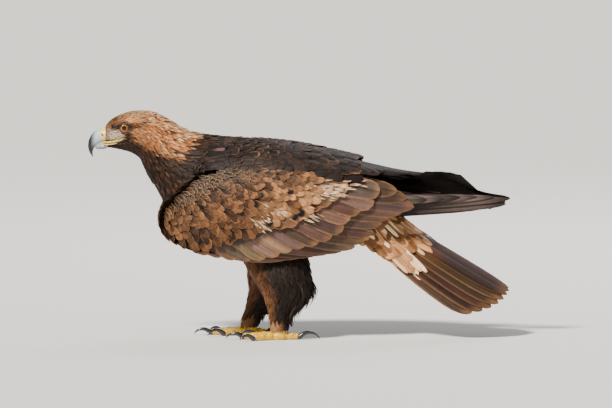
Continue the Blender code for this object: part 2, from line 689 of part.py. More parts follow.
def leg_rings(rows, side):
    """Return oval sections of a leg from rows of height, front x, rear x and half width."""
    rings = []
    for z, front, rear, half in rows:
        ring = []
        for k in range(14):
            turn = math.tau * k / 14
            ring.append(((front + rear) / 2 + leg_slip(side, z) + (rear - front) / 2 * math.cos(turn),
                         side * (LEG_Y + half * math.sin(turn)), z))
        rings.append(ring)
    return rings


def make_leg(name, side):
    """Build the thigh with its locks, cut clear of the belly, and the feathered shank."""
    rows = [THIGH_TOP] + THIGH_ROWS
    thigh = loft("thigh_" + name, leg_rings(rows, side))
    centre = smooth_curve([-row[0] for row in rows], [[(row[1] + row[2]) / 2, (row[2] - row[1]) / 2, row[3]]
                                                      for row in rows])
    draw = random.Random(TROUSER_SEED)
    locks = []

    def place(down, around, height):
        middle, long_half, wide_half = centre(max(down, -172))
        turn = around / TROUSER_RADIUS
        x = middle + leg_slip(side, -down) + (long_half + height) * math.cos(turn)
        return Vector((x, side * (LEG_Y + (wide_half + height) * math.sin(turn)), -down))

    for start, end, first, last, count, lift in TROUSER_TIERS:
        for k in range(count):
            turn = math.radians(first + (last - first) * (k + draw.uniform(-0.1, 0.1)) / (count - 1))
            around = turn * TROUSER_RADIUS
            locks.append(lock(place, (-start, around), (-end + draw.uniform(-4, 4), around), TROUSER_LOCK_WIDTH,
                              (-5, lift)))
    boolean(thigh, locks, "UNION", "MANIFOLD")
    clear = body_part("clear", 9.0, RUMP_END, 1.0, GAP)
    boolean(thigh, [clear], "DIFFERENCE", "MANIFOLD")
    loft("shank_" + name, leg_rings(SHANK_ROWS, side))


def toe_path(side, ankle, angle, length):
    """Return the middle line of a toe on the floor, from under the shank to its end."""
    heading = math.radians(angle) * side
    ahead = Vector((-math.cos(heading), math.sin(heading) * -1, 0))
    start = Vector((ankle[0], ankle[1], 0))
    reaches = np.linspace(0.0, 1.0, 7)
    points = [start + ahead * (length * t) + Vector((0, 0, 6.2 - 1.2 * t)) for t in reaches]
    radii = [TOE_RADIUS * (1 - 0.22 * t) * (1 + 0.09 * math.cos(t * math.tau * 3)) for t in reaches]
    return points, radii, ahead


def make_foot(name, side):
    """Fuse four toes to the ball of the foot, flat below, and set a claw on each."""
    ankle = ANKLES[name]
    ball = ellipsoid("ball", (ankle[0], ankle[1], 5), (16, 14, 10.4), 0.0, 12, 8)
    toes = []
    for toe, angle in TOE_ANGLES.items():
        points, radii, ahead = toe_path(side, ankle, angle, TOE_LENGTHS[toe])
        toes.append(tube("toe", points, radii, 8))
        claw_length = CLAW_LENGTHS[toe]
        base = points[-1] + ahead * (GAP + 0.05)
        start = base + ahead * 1.5
        rows = [base]
        sizes = [5.1]
        bow = claw_length / (CLAW_LIFT + CLAW_DROP)
        for t in np.linspace(0, 1, 7):
            turn = CLAW_LIFT - (CLAW_LIFT + CLAW_DROP) * t
            reach = bow * (math.sin(CLAW_LIFT) - math.sin(turn))
            rise = bow * (math.cos(turn) - math.cos(CLAW_LIFT))
            rows.append(start + ahead * reach + Vector((0, 0, rise)))
            sizes.append(4.6 * (1 - t) ** 0.7 + 0.4)
        tube("claw_" + name + "_" + toe, rows, sizes, 7)
    foot = boolean(ball, toes, "UNION")
    trim_below(foot, 0.0)
    foot.name = "foot_" + name


# Materials and placing
def paint(obj):
    """Give the object a plain material of its own, by the kind of part that it is."""
    kinds = {"bill": "horn", "cere": "skin", "claw": "horn", "foot": "skin", "eye": "eye", "neck": "nape",
             "shank": "shank"}
    kind = kinds.get(obj.name.split("_")[0], "feather")
    material = bpy.data.materials.new(obj.name)
    material.use_nodes = True
    shader = material.node_tree.nodes["Principled BSDF"]
    shader.inputs["Base Color"].default_value = (*COLOURS[kind], 1)
    shader.inputs["Roughness"].default_value = 0.3 if kind in ("horn", "eye") else 0.8
    obj.data.materials.clear()
    obj.data.materials.append(material)


def centre_all():
    """Put the origin at the bottom centre of the whole bird's box."""
    corners = np.array([v.co for obj in bpy.data.objects for v in obj.data.vertices])
    low = corners.min(axis=0)
    high = corners.max(axis=0)
    shift = Vector((-(low[0] + high[0]) / 2, -(low[1] + high[1]) / 2, -low[2]))
    for obj in bpy.data.objects:
        obj.data.transform(Matrix.Translation(shift))


def main():
    for obj in list(bpy.data.objects):
        bpy.data.objects.remove(obj)
    make_head()
    make_eyes()
    make_bill()
    make_neck()
    make_torso()
    make_wing("wing_left", -1)
    make_wing("wing_right", 1)
    make_tail()
    for name, side in (("left", -1), ("right", 1)):
        make_leg(name, side)
        make_foot(name, side)
    for obj in bpy.data.objects:
        paint(obj)
    centre_all()


main()
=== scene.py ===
"""Golden eagle, the looks: skin, feathers, eyes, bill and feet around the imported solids.

Lengths are in millimetres in the design frame: the bill points along -X, the bird's left side
is -Y, and up is +Z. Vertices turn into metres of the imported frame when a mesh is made.
"""
import math

import bpy
import mathutils
import numpy as np
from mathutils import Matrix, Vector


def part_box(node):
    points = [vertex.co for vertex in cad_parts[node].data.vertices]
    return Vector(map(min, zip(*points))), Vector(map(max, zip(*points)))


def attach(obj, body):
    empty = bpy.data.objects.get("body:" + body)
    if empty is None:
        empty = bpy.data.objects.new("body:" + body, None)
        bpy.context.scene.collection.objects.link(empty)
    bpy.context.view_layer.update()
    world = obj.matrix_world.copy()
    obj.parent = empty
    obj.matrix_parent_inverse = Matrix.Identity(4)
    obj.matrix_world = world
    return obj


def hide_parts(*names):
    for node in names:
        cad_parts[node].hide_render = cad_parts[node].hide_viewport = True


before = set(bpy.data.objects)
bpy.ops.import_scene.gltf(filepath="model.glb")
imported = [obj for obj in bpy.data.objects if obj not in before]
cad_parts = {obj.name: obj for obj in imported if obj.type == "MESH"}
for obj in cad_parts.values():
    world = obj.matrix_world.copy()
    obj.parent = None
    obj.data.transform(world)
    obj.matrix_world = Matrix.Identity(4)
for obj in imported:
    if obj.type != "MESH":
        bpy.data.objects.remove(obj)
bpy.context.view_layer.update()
MM = 0.001
draw = np.random.default_rng(11)

# Body sections, from bill base to rump: back point, belly point (x, z) and half width
BACK_POINTS = [(-341, 369), (-334, 378), (-324, 385), (-308, 392), (-290, 396), (-270, 396),
               (-250, 391), (-229, 380), (-206, 366), (-179, 357), (-152, 353), (-122, 350),
               (-88, 349), (-49, 347), (-10, 342), (26, 331), (60, 315), (86, 293), (105, 271)]
BELLY_POINTS = [(-340, 334), (-332, 334), (-320, 332), (-306, 329), (-293, 325), (-280, 316),
                (-273, 302), (-263, 282), (-251, 265), (-240, 245), (-230, 220), (-214, 192),
                (-178, 166), (-126, 150), (-66, 144), (-18, 147), (21, 154), (47, 166), (68, 184)]
HALF_WIDTHS = [12.5, 17, 23, 28.5, 32.5, 35, 36.5, 39, 45, 55, 66, 74, 80, 82, 80, 73, 62, 50, 38]
RUMP = 18.0

# Folded wings: height of the back, height of the widest line and half width along X
WING_X = (-245, -215, -175, -122, -66, -2, 52, 103, 175, 228, 280, 332, 380)
WING_TOP_Z = (329, 344, 354, 350, 349, 342, 331, 319, 300, 292, 287, 282, 276)
WING_WIDEST_Z = (215, 222, 228, 234, 239, 242, 241, 238, 234, 235, 236, 237, 238)
WING_HALF_WIDTH = (66, 90, 105, 112, 113, 110, 103, 90, 69, 55, 43, 33, 26)
WING_UNDER_DEPTH = 175.0
WING_ROUNDNESS = 2.2
WING_CORE_OUTLINE = [(-177, 290), (-214, 258), (-241, 225), (-238, 192), (-201, 168), (-150, 157),
                     (-90, 162), (-35, 192), (20, 232), (40, 269), (22, 297), (-40, 308), (-110, 306)]
WING_FRONT = WING_CORE_OUTLINE[:6]
WING_EDGE_LENGTH = 205.0
EDGE_BULGE = 4.0
MANTLE_RADIUS = 105.0

# Eye, tail and legs, as in the solids
EYE_CENTRE = (-306.5, 20.0, 368.5)
EYE_RADIUS = 10.5
TAIL_ROOT = (104.0, 0.0, 233.0)
TAIL_SLOPE = math.radians(31)
TAIL_ROLL = math.radians(27)
TAIL_ARCH_RADIUS = 90.0
TAIL_LENGTH = 303.0
TAIL_TAPER = 0.13
TAIL_SPACING = (8.8, 14.0)
LEG_Y = 47.0
THIGH_ROWS = [(172, -96, 6, 20), (150, -100, 8, 23), (128, -93, 15, 28), (104, -79, 20, 31),
              (81, -64, 19, 27), (62, -57, 6, 20), (46, -53, -12, 15), (30, -52, -20, 12.5),
              (21, -52, -19, 12.5), (15.8, -51, -21, 11.5)]
ANKLES = {"left": (-38.0, -47.0), "right": (-95.0, 47.0)}

# Where the design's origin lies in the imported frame, found from the eyes that the frame holds
SHIFT = (np.mean([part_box("eye_left")[0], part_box("eye_left")[1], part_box("eye_right")[0],
                  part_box("eye_right")[1]], axis=0) - np.array((EYE_CENTRE[0], 0, EYE_CENTRE[2])) * MM)


# Smooth curves, for whole arrays of places at once
def smooth_curve(knots, values):
    """Return the function of the smooth curve through the values at the knots."""
    knots = np.array(knots, float)
    values = np.array(values, float)
    slopes = np.gradient(values, knots, axis=0)

    def value(at):
        at = np.clip(np.asarray(at, float), knots[0], knots[-1])
        k = np.clip(np.searchsorted(knots, at, side="right") - 1, 0, len(knots) - 2)
        span = knots[k + 1] - knots[k]
        t = (at - knots[k]) / span
        if values.ndim == 2:
            span = span[..., None]
            t = t[..., None]
        return ((2 * t ** 3 - 3 * t ** 2 + 1) * values[k] + (3 * t ** 2 - 2 * t ** 3) * values[k + 1]
                + (t ** 3 - 2 * t ** 2 + t) * span * slopes[k] + (t ** 3 - t ** 2) * span * slopes[k + 1])
    return value


def path_curve(points):
    """Return the function that runs from 0 to 1 along the points at an even speed."""
    points = np.array(points, float)
    steps = np.linalg.norm(np.diff(points, axis=0), axis=1)
    return smooth_curve(np.concatenate([[0], np.cumsum(steps)]) / steps.sum(), points)


def step(low, high, at):
    """Return a smooth step from 0 at low to 1 at high."""
    t = np.clip((np.asarray(at, float) - low) / (high - low), 0, 1)
    return t * t * (3 - 2 * t)


def unit(vectors):
    """Return vectors of length one."""
    return vectors / np.maximum(np.linalg.norm(vectors, axis=-1, keepdims=True), 1e-9)


def join(x, y, z):
    """Return points of their three coordinates."""
    return np.stack(np.broadcast_arrays(x, y, z), axis=-1).astype(float)


def turns(count):
    """Return count angles, evenly spread round a circle."""
    return np.linspace(0, math.tau, count, endpoint=False)


def grid(rows, columns):
    """Return every pair of the two rows of values, as two arrays."""
    return np.meshgrid(rows, columns, indexing="ij")


SECTIONS = range(len(BACK_POINTS))
RIGHT_PRIMARY_BOW = 21.0
LEG_LEAN_END = 125.0
PROBE = 0.01
back_at = smooth_curve(SECTIONS, BACK_POINTS)
belly_at = smooth_curve(SECTIONS, BELLY_POINTS)
half_width_at = smooth_curve(SECTIONS, HALF_WIDTHS)
wing_top = smooth_curve(WING_X, WING_TOP_Z)
wing_widest = smooth_curve(WING_X, WING_WIDEST_Z)
wing_half_width = smooth_curve(WING_X, WING_HALF_WIDTH)
thigh_at = smooth_curve([-row[0] for row in THIGH_ROWS],
                        [((row[1] + row[2]) / 2, (row[2] - row[1]) / 2, row[3]) for row in THIGH_ROWS])
# How far the right wing's feathers stand above the left wing's
right_rise = smooth_curve((-60, 60, 140, 200, 270, 300, 335), (0, 28, 51, 54, 53, 40, 4))


def leg_slip(side, height):
    """Return how far ahead of the left leg this leg stands at a height above the floor."""
    ahead = 0.0 if side < 0 else ANKLES["right"][0] - ANKLES["left"][0]
    return ahead * (1 - np.minimum(height / LEG_LEAN_END, 1.0) ** 1.3)


# Surfaces: each takes two coordinates and a height over it, and returns points
def body(station, turn, height):
    """Body skin: turn runs round it in radians from the back, positive to the right."""
    back = back_at(station)
    belly = belly_at(station)
    length = np.linalg.norm(back - belly, axis=-1)
    up = (back - belly) / length[..., None]
    rise = (length / 2 + height) * np.cos(turn)
    middle = (back + belly) / 2
    return join(middle[..., 0] + up[..., 0] * rise, (half_width_at(station) + height) * np.sin(turn),
                middle[..., 1] + up[..., 1] * rise)


def wing_width(x, z):
    """Return how far out the folded wing reaches at a place of the side view."""
    rise = z - wing_widest(x)
    reach = np.where(rise > 0, rise / (wing_top(x) - wing_widest(x)), -rise / WING_UNDER_DEPTH)
    return wing_half_width(x) * (1 - np.minimum(reach, 0.97) ** WING_ROUNDNESS) ** (1 / WING_ROUNDNESS)


def wing_surface(side):
    """Outer surface of a folded wing, over places of the side view."""
    def surface(x, z, height):
        x, z, height = np.broadcast_arrays(x, z, height)
        width = wing_width(x, z)
        normal = unit(join(wing_width(x - 1, z) - wing_width(x + 1, z), 2.0,
                           wing_width(x, z - 1) - wing_width(x, z + 1)))
        point = join(x, width, z) + normal * height[..., None]
        return point * np.array((1, side, 1))
    return surface


def mantle(x, reach, height):
    """Surface over the back: reach runs down the side in millimetres, positive to the right."""
    def surface(x, turn):
        top = wing_top(x)
        middle = wing_widest(x)
        power = 2 / WING_ROUNDNESS
        across = np.sign(turn) * np.abs(np.sin(turn)) ** power
        return join(x, wing_half_width(x) * across, middle + (top - middle) * np.cos(turn) ** power)

    x, reach, height = np.broadcast_arrays(x, reach, height)
    turn = np.clip(reach / MANTLE_RADIUS, -1.4, 1.4)
    normal = unit(np.cross(surface(x + 1, turn) - surface(x - 1, turn),
                           surface(x, turn + 0.01) - surface(x, turn - 0.01)))
    return surface(x, turn) + normal * height[..., None]


def tail_surface(along, across, height):
    """Upper side of the tail: arched, rolled to the left and sloping down."""
    bow = across / TAIL_ARCH_RADIUS
    sideways = (TAIL_ARCH_RADIUS + height) * np.sin(bow)
    up = (TAIL_ARCH_RADIUS + height) * np.cos(bow) - TAIL_ARCH_RADIUS
    y = sideways * math.cos(TAIL_ROLL) - up * math.sin(TAIL_ROLL)
    z = sideways * math.sin(TAIL_ROLL) + up * math.cos(TAIL_ROLL)
    x = along * math.cos(TAIL_SLOPE) + z * math.sin(TAIL_SLOPE)
    return join(x, y, z * math.cos(TAIL_SLOPE) - along * math.sin(TAIL_SLOPE)) + np.array(TAIL_ROOT)


def leg_surface(side):
    """Skin of a leg: minus its height above the floor, and the turn round it from the rear."""
    def surface(down, turn, height):
        down, turn, height = np.broadcast_arrays(down, turn, height)
        oval = thigh_at(down)
        return join(oval[..., 0] + leg_slip(side, -down) + (oval[..., 1] + height) * np.cos(turn),
                    side * (LEG_Y + (oval[..., 2] + height) * np.sin(turn)), -down)
    return surface


# Meshes
def new_object(name, data):
    """Add an object with this data to the scene."""
    obj = bpy.data.objects.new(name, data)
    bpy.context.scene.collection.objects.link(obj)
    return obj


def new_mesh(name, vertices, faces, material):
    """Make a smooth object on the root body from design points in millimetres."""
    mesh = bpy.data.meshes.new(name)
    mesh.from_pydata((np.asarray(vertices, float) * MM + SHIFT).tolist(), [], faces)
    mesh.validate()
    mesh.shade_smooth()
    mesh.materials.append(material)
    obj = new_object(name, mesh)
    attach(obj, "root")
    return obj


def grid_faces(rows, columns, wrap):
    """Return the quads of a grid, closed round its columns where wrap is true."""
    faces = []
    for i in range(rows - 1):
        for j in range(columns if wrap else columns - 1):
            k = (j + 1) % columns
            faces.append((i * columns + j, i * columns + k, (i + 1) * columns + k, (i + 1) * columns + j))
    return faces


# Feathers
OUTLINES = {
    "round": ((0, 0.35), (0.35, 0.85), (0.62, 1.0), (0.82, 0.88), (0.94, 0.55), (1, 0.15)),
    "lance": ((0, 0.45), (0.25, 0.95), (0.5, 1.0), (0.8, 0.55), (1, 0.05)),
    "tiny": ((0, 0.5), (0.5, 1.0), (1, 0.12)),
    "hair": ((0, 0.7), (0.5, 0.8), (1, 0.05)),
    "flight": ((0, 0.25), (0.1, 0.5), (0.22, 0.78), (0.36, 0.94), (0.52, 1.0), (0.66, 1.0), (0.78, 0.95),
               (0.87, 0.83), (0.94, 0.6), (0.98, 0.34), (1, 0.06)),
    "square": ((0, 0.3), (0.15, 0.6), (0.35, 0.88), (0.55, 1.0), (0.75, 1.0), (0.88, 0.93), (0.96, 0.68),
               (1, 0.22)),
}
COLUMNS = {"round": 5, "lance": 3, "tiny": 3, "hair": 3, "flight": 7, "square": 5}
# Feathers given no tip colour are painted darker towards the root, as painted shade where the feathers over
# them lie, and a little lighter towards the tip, as painted light; TIP_PLACE is where the tip's colour
# starts
ROOT_PAINTED_SHADE = (0.45, 0.42, 0.40, 1)
TIP_PAINTED_LIGHT = (1.12, 1.12, 1.12, 0)
TIP_PLACE = 0.5
FEATHER_PATCH = 0.003


def feathers(name, surface, roots, lengths, widths, yaw, heights, base, rim, tip=None, outline="round",
             camber=0.06, tilt=0.0, bend=0.0, thickness=0.35, ease=1.5):
    """Make one mesh of many closed feathers on a surface.

    roots are pairs of the surface's coordinates, yaw turns each feather from the first towards
    the second, heights are those over the surface at root and tip, and base, rim and tip are
    colours: the rim's alpha is its strength, and the tip's is the place where its colour starts.
    """
    roots = np.asarray(roots, float)
    count = len(roots)
    lengths, widths, yaw, tilt, bend, low, high = (
        np.broadcast_to(np.asarray(value, float), (count,))[:, None, None]
        for value in (lengths, widths, yaw, tilt, bend, *heights))
    p, q = roots.T[:, :, None, None]
    step_p = np.linalg.norm(surface(p + PROBE, q, 0 * p) - surface(p - PROBE, q, 0 * p), axis=-1)
    step_q = np.linalg.norm(surface(p, q + PROBE, 0 * p) - surface(p, q - PROBE, 0 * p), axis=-1)
    scale_p, scale_q = (np.maximum(step_by / (2 * PROBE), 1e-3) for step_by in (step_p, step_q))
    along, spread = np.array(OUTLINES[outline]).T
    columns = COLUMNS[outline]
    across = np.linspace(-1, 1, columns)
    t = along[None, :, None]
    s = across[None, None, :]
    forward = lengths * t + 0 * s
    aside = widths / 2 * spread[None, :, None] * s + bend * np.sin(math.pi * t)
    at_p = p + (forward * np.cos(yaw) - aside * np.sin(yaw)) / scale_p
    at_q = q + (forward * np.sin(yaw) + aside * np.cos(yaw)) / scale_q
    rise = low + (high - low) * (1 - (1 - t) ** ease) + camber * widths * (1 - s ** 2) + tilt * aside
    top = surface(at_p, at_q, rise)
    inside = (np.abs(s) < 0.999) & (t > 0.001) & (t < 0.999)
    bottom = surface(at_p, at_q, rise - thickness * inside)
    n_rows = len(along)
    per = n_rows * columns
    inner = np.nonzero(np.broadcast_to(inside, (1, n_rows, columns))[0].ravel())[0]
    lower_index = np.arange(per)
    lower_index[inner] = per + np.arange(len(inner))
    bottom = bottom.reshape(count, per, 3)[:, inner]
    vertices = np.concatenate([top.reshape(count, per, 3), bottom], axis=1)
    quads = np.array(grid_faces(n_rows, columns, False))
    faces = np.concatenate([quads, lower_index[quads][:, ::-1]])
    total = per + len(inner)
    faces = (faces[None] + (np.arange(count) * total)[:, None, None]).reshape(-1, 4)
    obj = new_mesh(name, vertices.reshape(-1, 3), faces, feather_mat)
    mesh = obj.data
    rim_points = np.ones(total, bool)
    rim_points[inner] = False
    rim_points[per:] = False
    pairs = np.empty(len(mesh.edges) * 2, int)
    mesh.edges.foreach_get("vertices", pairs)
    sharp = rim_points[pairs % total].reshape(-1, 2).all(axis=1)
    mesh.attributes.new("sharp_edge", "BOOLEAN", "EDGE").data.foreach_set("value", sharp)
    # Colours of each feather, and its own coordinates across and along
    # Feathers given no tip colour: painted shade darkens the root and painted light lifts the tip
    if tip is None:
        tip = np.broadcast_to(base, (count, 4)) * np.array(TIP_PAINTED_LIGHT) + np.array((0, 0, 0, TIP_PLACE))
        base = np.broadcast_to(base, (count, 4)) * np.array(ROOT_PAINTED_SHADE)
    for label, colours in (("base", base), ("rim", rim), ("tip", tip)):
        colours = np.broadcast_to(np.asarray(colours, float), (count, 4))
        data = np.repeat(colours[:, None], total, axis=1).reshape(-1, 4)
        mesh.color_attributes.new(label, "FLOAT_COLOR", "POINT").data.foreach_set("color", data.ravel())
    own = np.stack([np.tile((across + 1) / 2, n_rows), np.repeat(along, columns)], axis=1)
    own = np.concatenate([own, own[inner]])
    corner = faces.ravel()
    bake_root = np.stack([unit_range(place) for place in roots.T], axis=1)
    bake = (bake_root[:, None] * (1 - 2 * FEATHER_PATCH) + own[None] * FEATHER_PATCH).reshape(-1, 2)
    mesh.uv_layers.new(name="OFBake").data.foreach_set("uv", bake[corner].ravel())
    mesh.uv_layers.new(name="vane").data.foreach_set("uv", own[corner % total].ravel())


def unit_range(values):
    """Stretch values to run from 0 to 1."""
    span = values.max() - values.min()
    return (values - values.min()) / span if span > 0 else values * 0 + 0.5


def scatter(surface, start, end, pitch, low, high):
    """Return staggered root places: rows from start to end, pitch apart in millimetres both ways.

    pitch is a function of the first coordinate that gives the row pitch and column pitch.
    """
    places = []
    at = start
    row = 0
    while at < end:
        row_pitch, column_pitch = pitch(at)
        across = np.linspace(low, high, 64)
        line = surface(np.full(64, at), across, np.zeros(64))
        lengths = np.concatenate([[0], np.cumsum(np.linalg.norm(np.diff(line, axis=0), axis=1))])
        count = max(3, int(lengths[-1] / column_pitch))
        steps = (np.arange(count) + 0.5 * (row % 2) + draw.uniform(-0.25, 0.25, count)) / count
        around = np.interp(np.clip(steps, 0, 1) * lengths[-1], lengths, across)
        middle = np.full(1, (low + high) / 2)
        move = np.linalg.norm(surface(np.array([at + 0.05]), middle, 0 * middle)
                              - surface(np.array([at - 0.05]), middle, 0 * middle)) / 0.1
        drift = row_pitch / max(move, 1e-3)
        places.append(np.stack([at + draw.uniform(-0.3, 0.3, count) * drift, around], axis=1))
        at += drift
        row += 1
    return np.concatenate(places)


def shade(colour, count, amount=0.15, strength=0.0):
    """Return count colours near one, each a little lighter or darker, with strength as alpha."""
    value = 1 + draw.normal(0, amount, (count, 1))
    tint = 1 + draw.normal(0, amount / 4, (count, 3))
    return with_alpha(np.clip(np.asarray(colour, float) * value * tint, DARKEST, 1), strength)


def with_alpha(colours, alpha):
    """Add a fourth value to each of the colours."""
    alpha = np.broadcast_to(np.asarray(alpha, float), (len(colours),))
    return np.concatenate([colours, alpha[:, None]], axis=1)


def spread_tones(tone, amount):
    """Make each of the colours a little lighter or darker."""
    return np.clip(tone * (1 + draw.normal(0, amount, (len(tone), 1))), DARKEST, LIGHTEST)


def tinted(tone, amount, alpha):
    """Return colours that vary by amount, with an alpha."""
    return with_alpha(spread_tones(tone, amount), alpha)


def mix(first, second, share):
    """Mix two colours, or two rows of them, by a share for each row."""
    share = np.asarray(share, float)[..., None]
    return np.asarray(first) * (1 - share) + np.asarray(second) * share


# Materials
class Look:
    """A material with a Principled shader, and short calls that add nodes to it."""

    def __init__(self, name, colour, roughness, **values):
        self.material = bpy.data.materials.new(name)
        self.material.use_nodes = True
        self.tree = self.material.node_tree
        self.shader = self.tree.nodes["Principled BSDF"]
        values.update(Base_Color=(*colour, 1), Roughness=roughness)
        for socket, value in values.items():
            self.shader.inputs[socket.replace("_", " ")].default_value = value

    def node(self, kind, inputs=(), **settings):
        """Add a node, with a link or a constant for each of the inputs that are given."""
        made = self.tree.nodes.new("ShaderNode" + kind)
        for key, value in settings.items():
            setattr(made, key, value)
        for socket, value in dict(inputs).items():
            if isinstance(value, bpy.types.NodeSocket):
                self.tree.links.new(value, made.inputs[socket])
            else:
                made.inputs[socket].default_value = value
        return made.outputs

    def maths(self, operation, *values):
        return self.node("Math", enumerate(values), operation=operation)[0]

    def ramp(self, value, low, high):
        """Return a smooth step from 0 at low to 1 at high."""
        return self.node("MapRange", {"Value": value, "From Min": low, "From Max": high},
                         interpolation_type="SMOOTHSTEP")["Result"]

    def blend(self, factor, first, second, kind="MIX"):
        inputs = {0: factor, 6: first, 7: second}
        inputs = {key: (*value, 1) if isinstance(value, tuple) else value for key, value in inputs.items()}
        return self.node("Mix", inputs, data_type="RGBA", blend_type=kind)[2]

    def noise(self, scale, at, detail=2.0):
        return self.node("TexNoise", {"Scale": scale, "Detail": detail, "Vector": at})[0]

    def position(self):
        return self.node("NewGeometry")["Position"]

    def split(self, vector):
        return self.node("SeparateXYZ", {0: vector})

    def vector(self, *parts):
        return self.node("CombineXYZ", enumerate(parts))[0]

    def coordinates(self, uv_map):
        return self.split(self.node("UVMap", uv_map=uv_map)[0])

    def along_axis(self, axis, low, high):
        """Return a smooth step along X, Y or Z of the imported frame, from design millimetres."""
        return self.ramp(self.split(self.position())[axis], low * MM + SHIFT[axis], high * MM + SHIFT[axis])

    def paint(self, colour):
        self.tree.links.new(colour, self.shader.inputs["Base Color"])
        return self.material

    def bump(self, height, strength, distance):
        made = self.node("Bump", {"Strength": strength, "Distance": distance, "Height": height})
        self.tree.links.new(made[0], self.shader.inputs["Normal"])


# Across and along a feather: where the pale rim starts, and how softly the tip's colour starts
RIM_STARTS = (0.72, 0.88)
TIP_SOFTNESS = 0.18
SHAFT_COLOUR = (0.02, 0.013, 0.01)
SHAFT_STRENGTH = 0.45
SHAFT_EDGES = (0.02, 0.09)
BARB_SLANT = -0.35
BARB_TURNS = 130
BARB_TONE = 0.03
BARB_RELIEF = 0.0003
# How much the noise and each feather's own streaks change its tone: share and least value
SPECKLE = (0.5, 0.75)
STREAKS = (1.5, 0.25)
STREAKS_ACROSS = 6
STREAKS_ALONG = 1.3


def feather_material():
    """Vane with pale rim, dark shaft and fine slanting barbs, coloured by the mesh's own colours."""
    look = Look("feather", (0.2, 0.1, 0.05), 0.58, Specular_IOR_Level=0.16)
    maths, ramp, blend = look.maths, look.ramp, look.blend
    base, rim, tip = (look.node("Attribute", attribute_name=label) for label in ("base", "rim", "tip"))
    vane = look.coordinates("vane")
    across = maths("ABSOLUTE", maths("MULTIPLY_ADD", vane[0], 2, -1))
    along = vane[1]
    passed = maths("SUBTRACT", along, tip["Alpha"])
    colour = blend(ramp(passed, -TIP_SOFTNESS, TIP_SOFTNESS), base["Color"], tip["Color"])
    edge = maths("MAXIMUM", ramp(across, RIM_STARTS[0], 1.0), ramp(along, RIM_STARTS[1], 1.0))
    colour = blend(maths("MULTIPLY", edge, rim["Alpha"]), colour, rim["Color"])
    shaft = maths("MULTIPLY", maths("SUBTRACT", 1, ramp(across, *SHAFT_EDGES)), SHAFT_STRENGTH)
    colour = blend(shaft, colour, SHAFT_COLOUR)
    slant = maths("MULTIPLY_ADD", across, BARB_SLANT, along)
    barbs = maths("SINE", maths("MULTIPLY", slant, BARB_TURNS))
    speckle = maths("MULTIPLY_ADD", look.noise(160, look.position(), 3), *SPECKLE)
    speckle = maths("MULTIPLY_ADD", barbs, BARB_TONE, speckle)
    # The root's place in the baked map tells the feathers apart
    root = look.coordinates("OFBake")
    luck = maths("MULTIPLY_ADD", root[0], 90, maths("MULTIPLY", root[1], 130))
    spot = look.vector(maths("MULTIPLY", vane[0], STREAKS_ACROSS),
                       maths("MULTIPLY", along, STREAKS_ALONG), luck)
    speckle = maths("MULTIPLY", speckle, maths("MULTIPLY_ADD", look.noise(1, spot), *STREAKS))
    look.bump(barbs, 0.1, BARB_RELIEF)
    return look.paint(blend(1.0, colour, look.vector(speckle, speckle, speckle), "MULTIPLY"))


def noisy_material(name, dark, light, roughness, scale, bump_height, **values):
    """Two tones mixed by noise, with the same noise as bump."""
    look = Look(name, light, roughness, **values)
    noise = look.noise(scale, look.position(), 5)
    look.bump(noise, 0.6, bump_height)
    return look.paint(look.blend(look.ramp(noise, 0.35, 0.65), dark, light))


def bill_material():
    """Blue-grey horn that darkens to black at the hook."""
    look = Look("bill_horn", (0.2, 0.22, 0.25), 0.42, Specular_IOR_Level=0.35, Coat_Weight=0.08,
                Coat_Roughness=0.25)
    low = look.along_axis(2, 330, 342)
    front = look.along_axis(0, -367, -354)
    pale = look.maths("MULTIPLY", look.maths("MULTIPLY_ADD", low, 0.7, 0.3), front)
    mottle = look.maths("MULTIPLY_ADD", look.noise(300, look.position()), *SPECKLE)
    pale = look.maths("MULTIPLY", pale, mottle)
    return look.paint(look.blend(pale, (0.010, 0.012, 0.02), (0.42, 0.455, 0.50)))


# Iris: how far from its axis the pupil and the rim start and end, in metres
PUPIL_EDGES = (0.0037, 0.0042)
IRIS_EDGES = (0.0056, 0.0076)


def iris_material():
    """Amber iris, darker at its rim, round a black pupil, by distance from the eye's axis."""
    look = Look("iris", (0.5, 0.2, 0.02), 0.3, Specular_IOR_Level=0.2, Coat_Weight=0.35,
                Coat_Roughness=0.03)
    maths, ramp, blend = look.maths, look.ramp, look.blend
    parts = look.split(look.position())
    squares = [maths("POWER", maths("SUBTRACT", parts[axis], EYE_CENTRE[axis] * MM + SHIFT[axis]), 2)
               for axis in (0, 2)]
    reach = maths("SQRT", maths("ADD", *squares))
    spokes = ramp(look.noise(900, look.position()), 0.3, 0.7)
    amber = blend(spokes, (0.26, 0.055, 0.001), (0.46, 0.16, 0.002))
    amber = blend(ramp(reach, *IRIS_EDGES), amber, (0.03, 0.008, 0.003))
    return look.paint(blend(ramp(reach, *PUPIL_EDGES), (0.002, 0.002, 0.002), amber))


feather_mat = feather_material()
skin_mat = noisy_material("skin", (0.03, 0.02, 0.014), (0.05, 0.032, 0.02), 0.8, 60, 0.001)
lid_mat = noisy_material("lid", (0.03, 0.026, 0.024), (0.07, 0.06, 0.05), 0.5, 500, 0.0003)
cere_mat = noisy_material("cere", (0.70, 0.42, 0.04), (0.86, 0.66, 0.16), 0.38, 350, 0.0002,
                          Subsurface_Weight=0.15, Subsurface_Radius=(0.004, 0.002, 0.001))
toe_mat = noisy_material("toe_skin", (0.50, 0.25, 0.01), (0.78, 0.47, 0.03), 0.42, 260, 0.0006)
horn_mat = bill_material()
claw_mat = Look("claw_horn", (0.012, 0.012, 0.015), 0.22, Specular_IOR_Level=0.6, Coat_Weight=0.4,
                Coat_Roughness=0.15).material
iris_mat = iris_material()

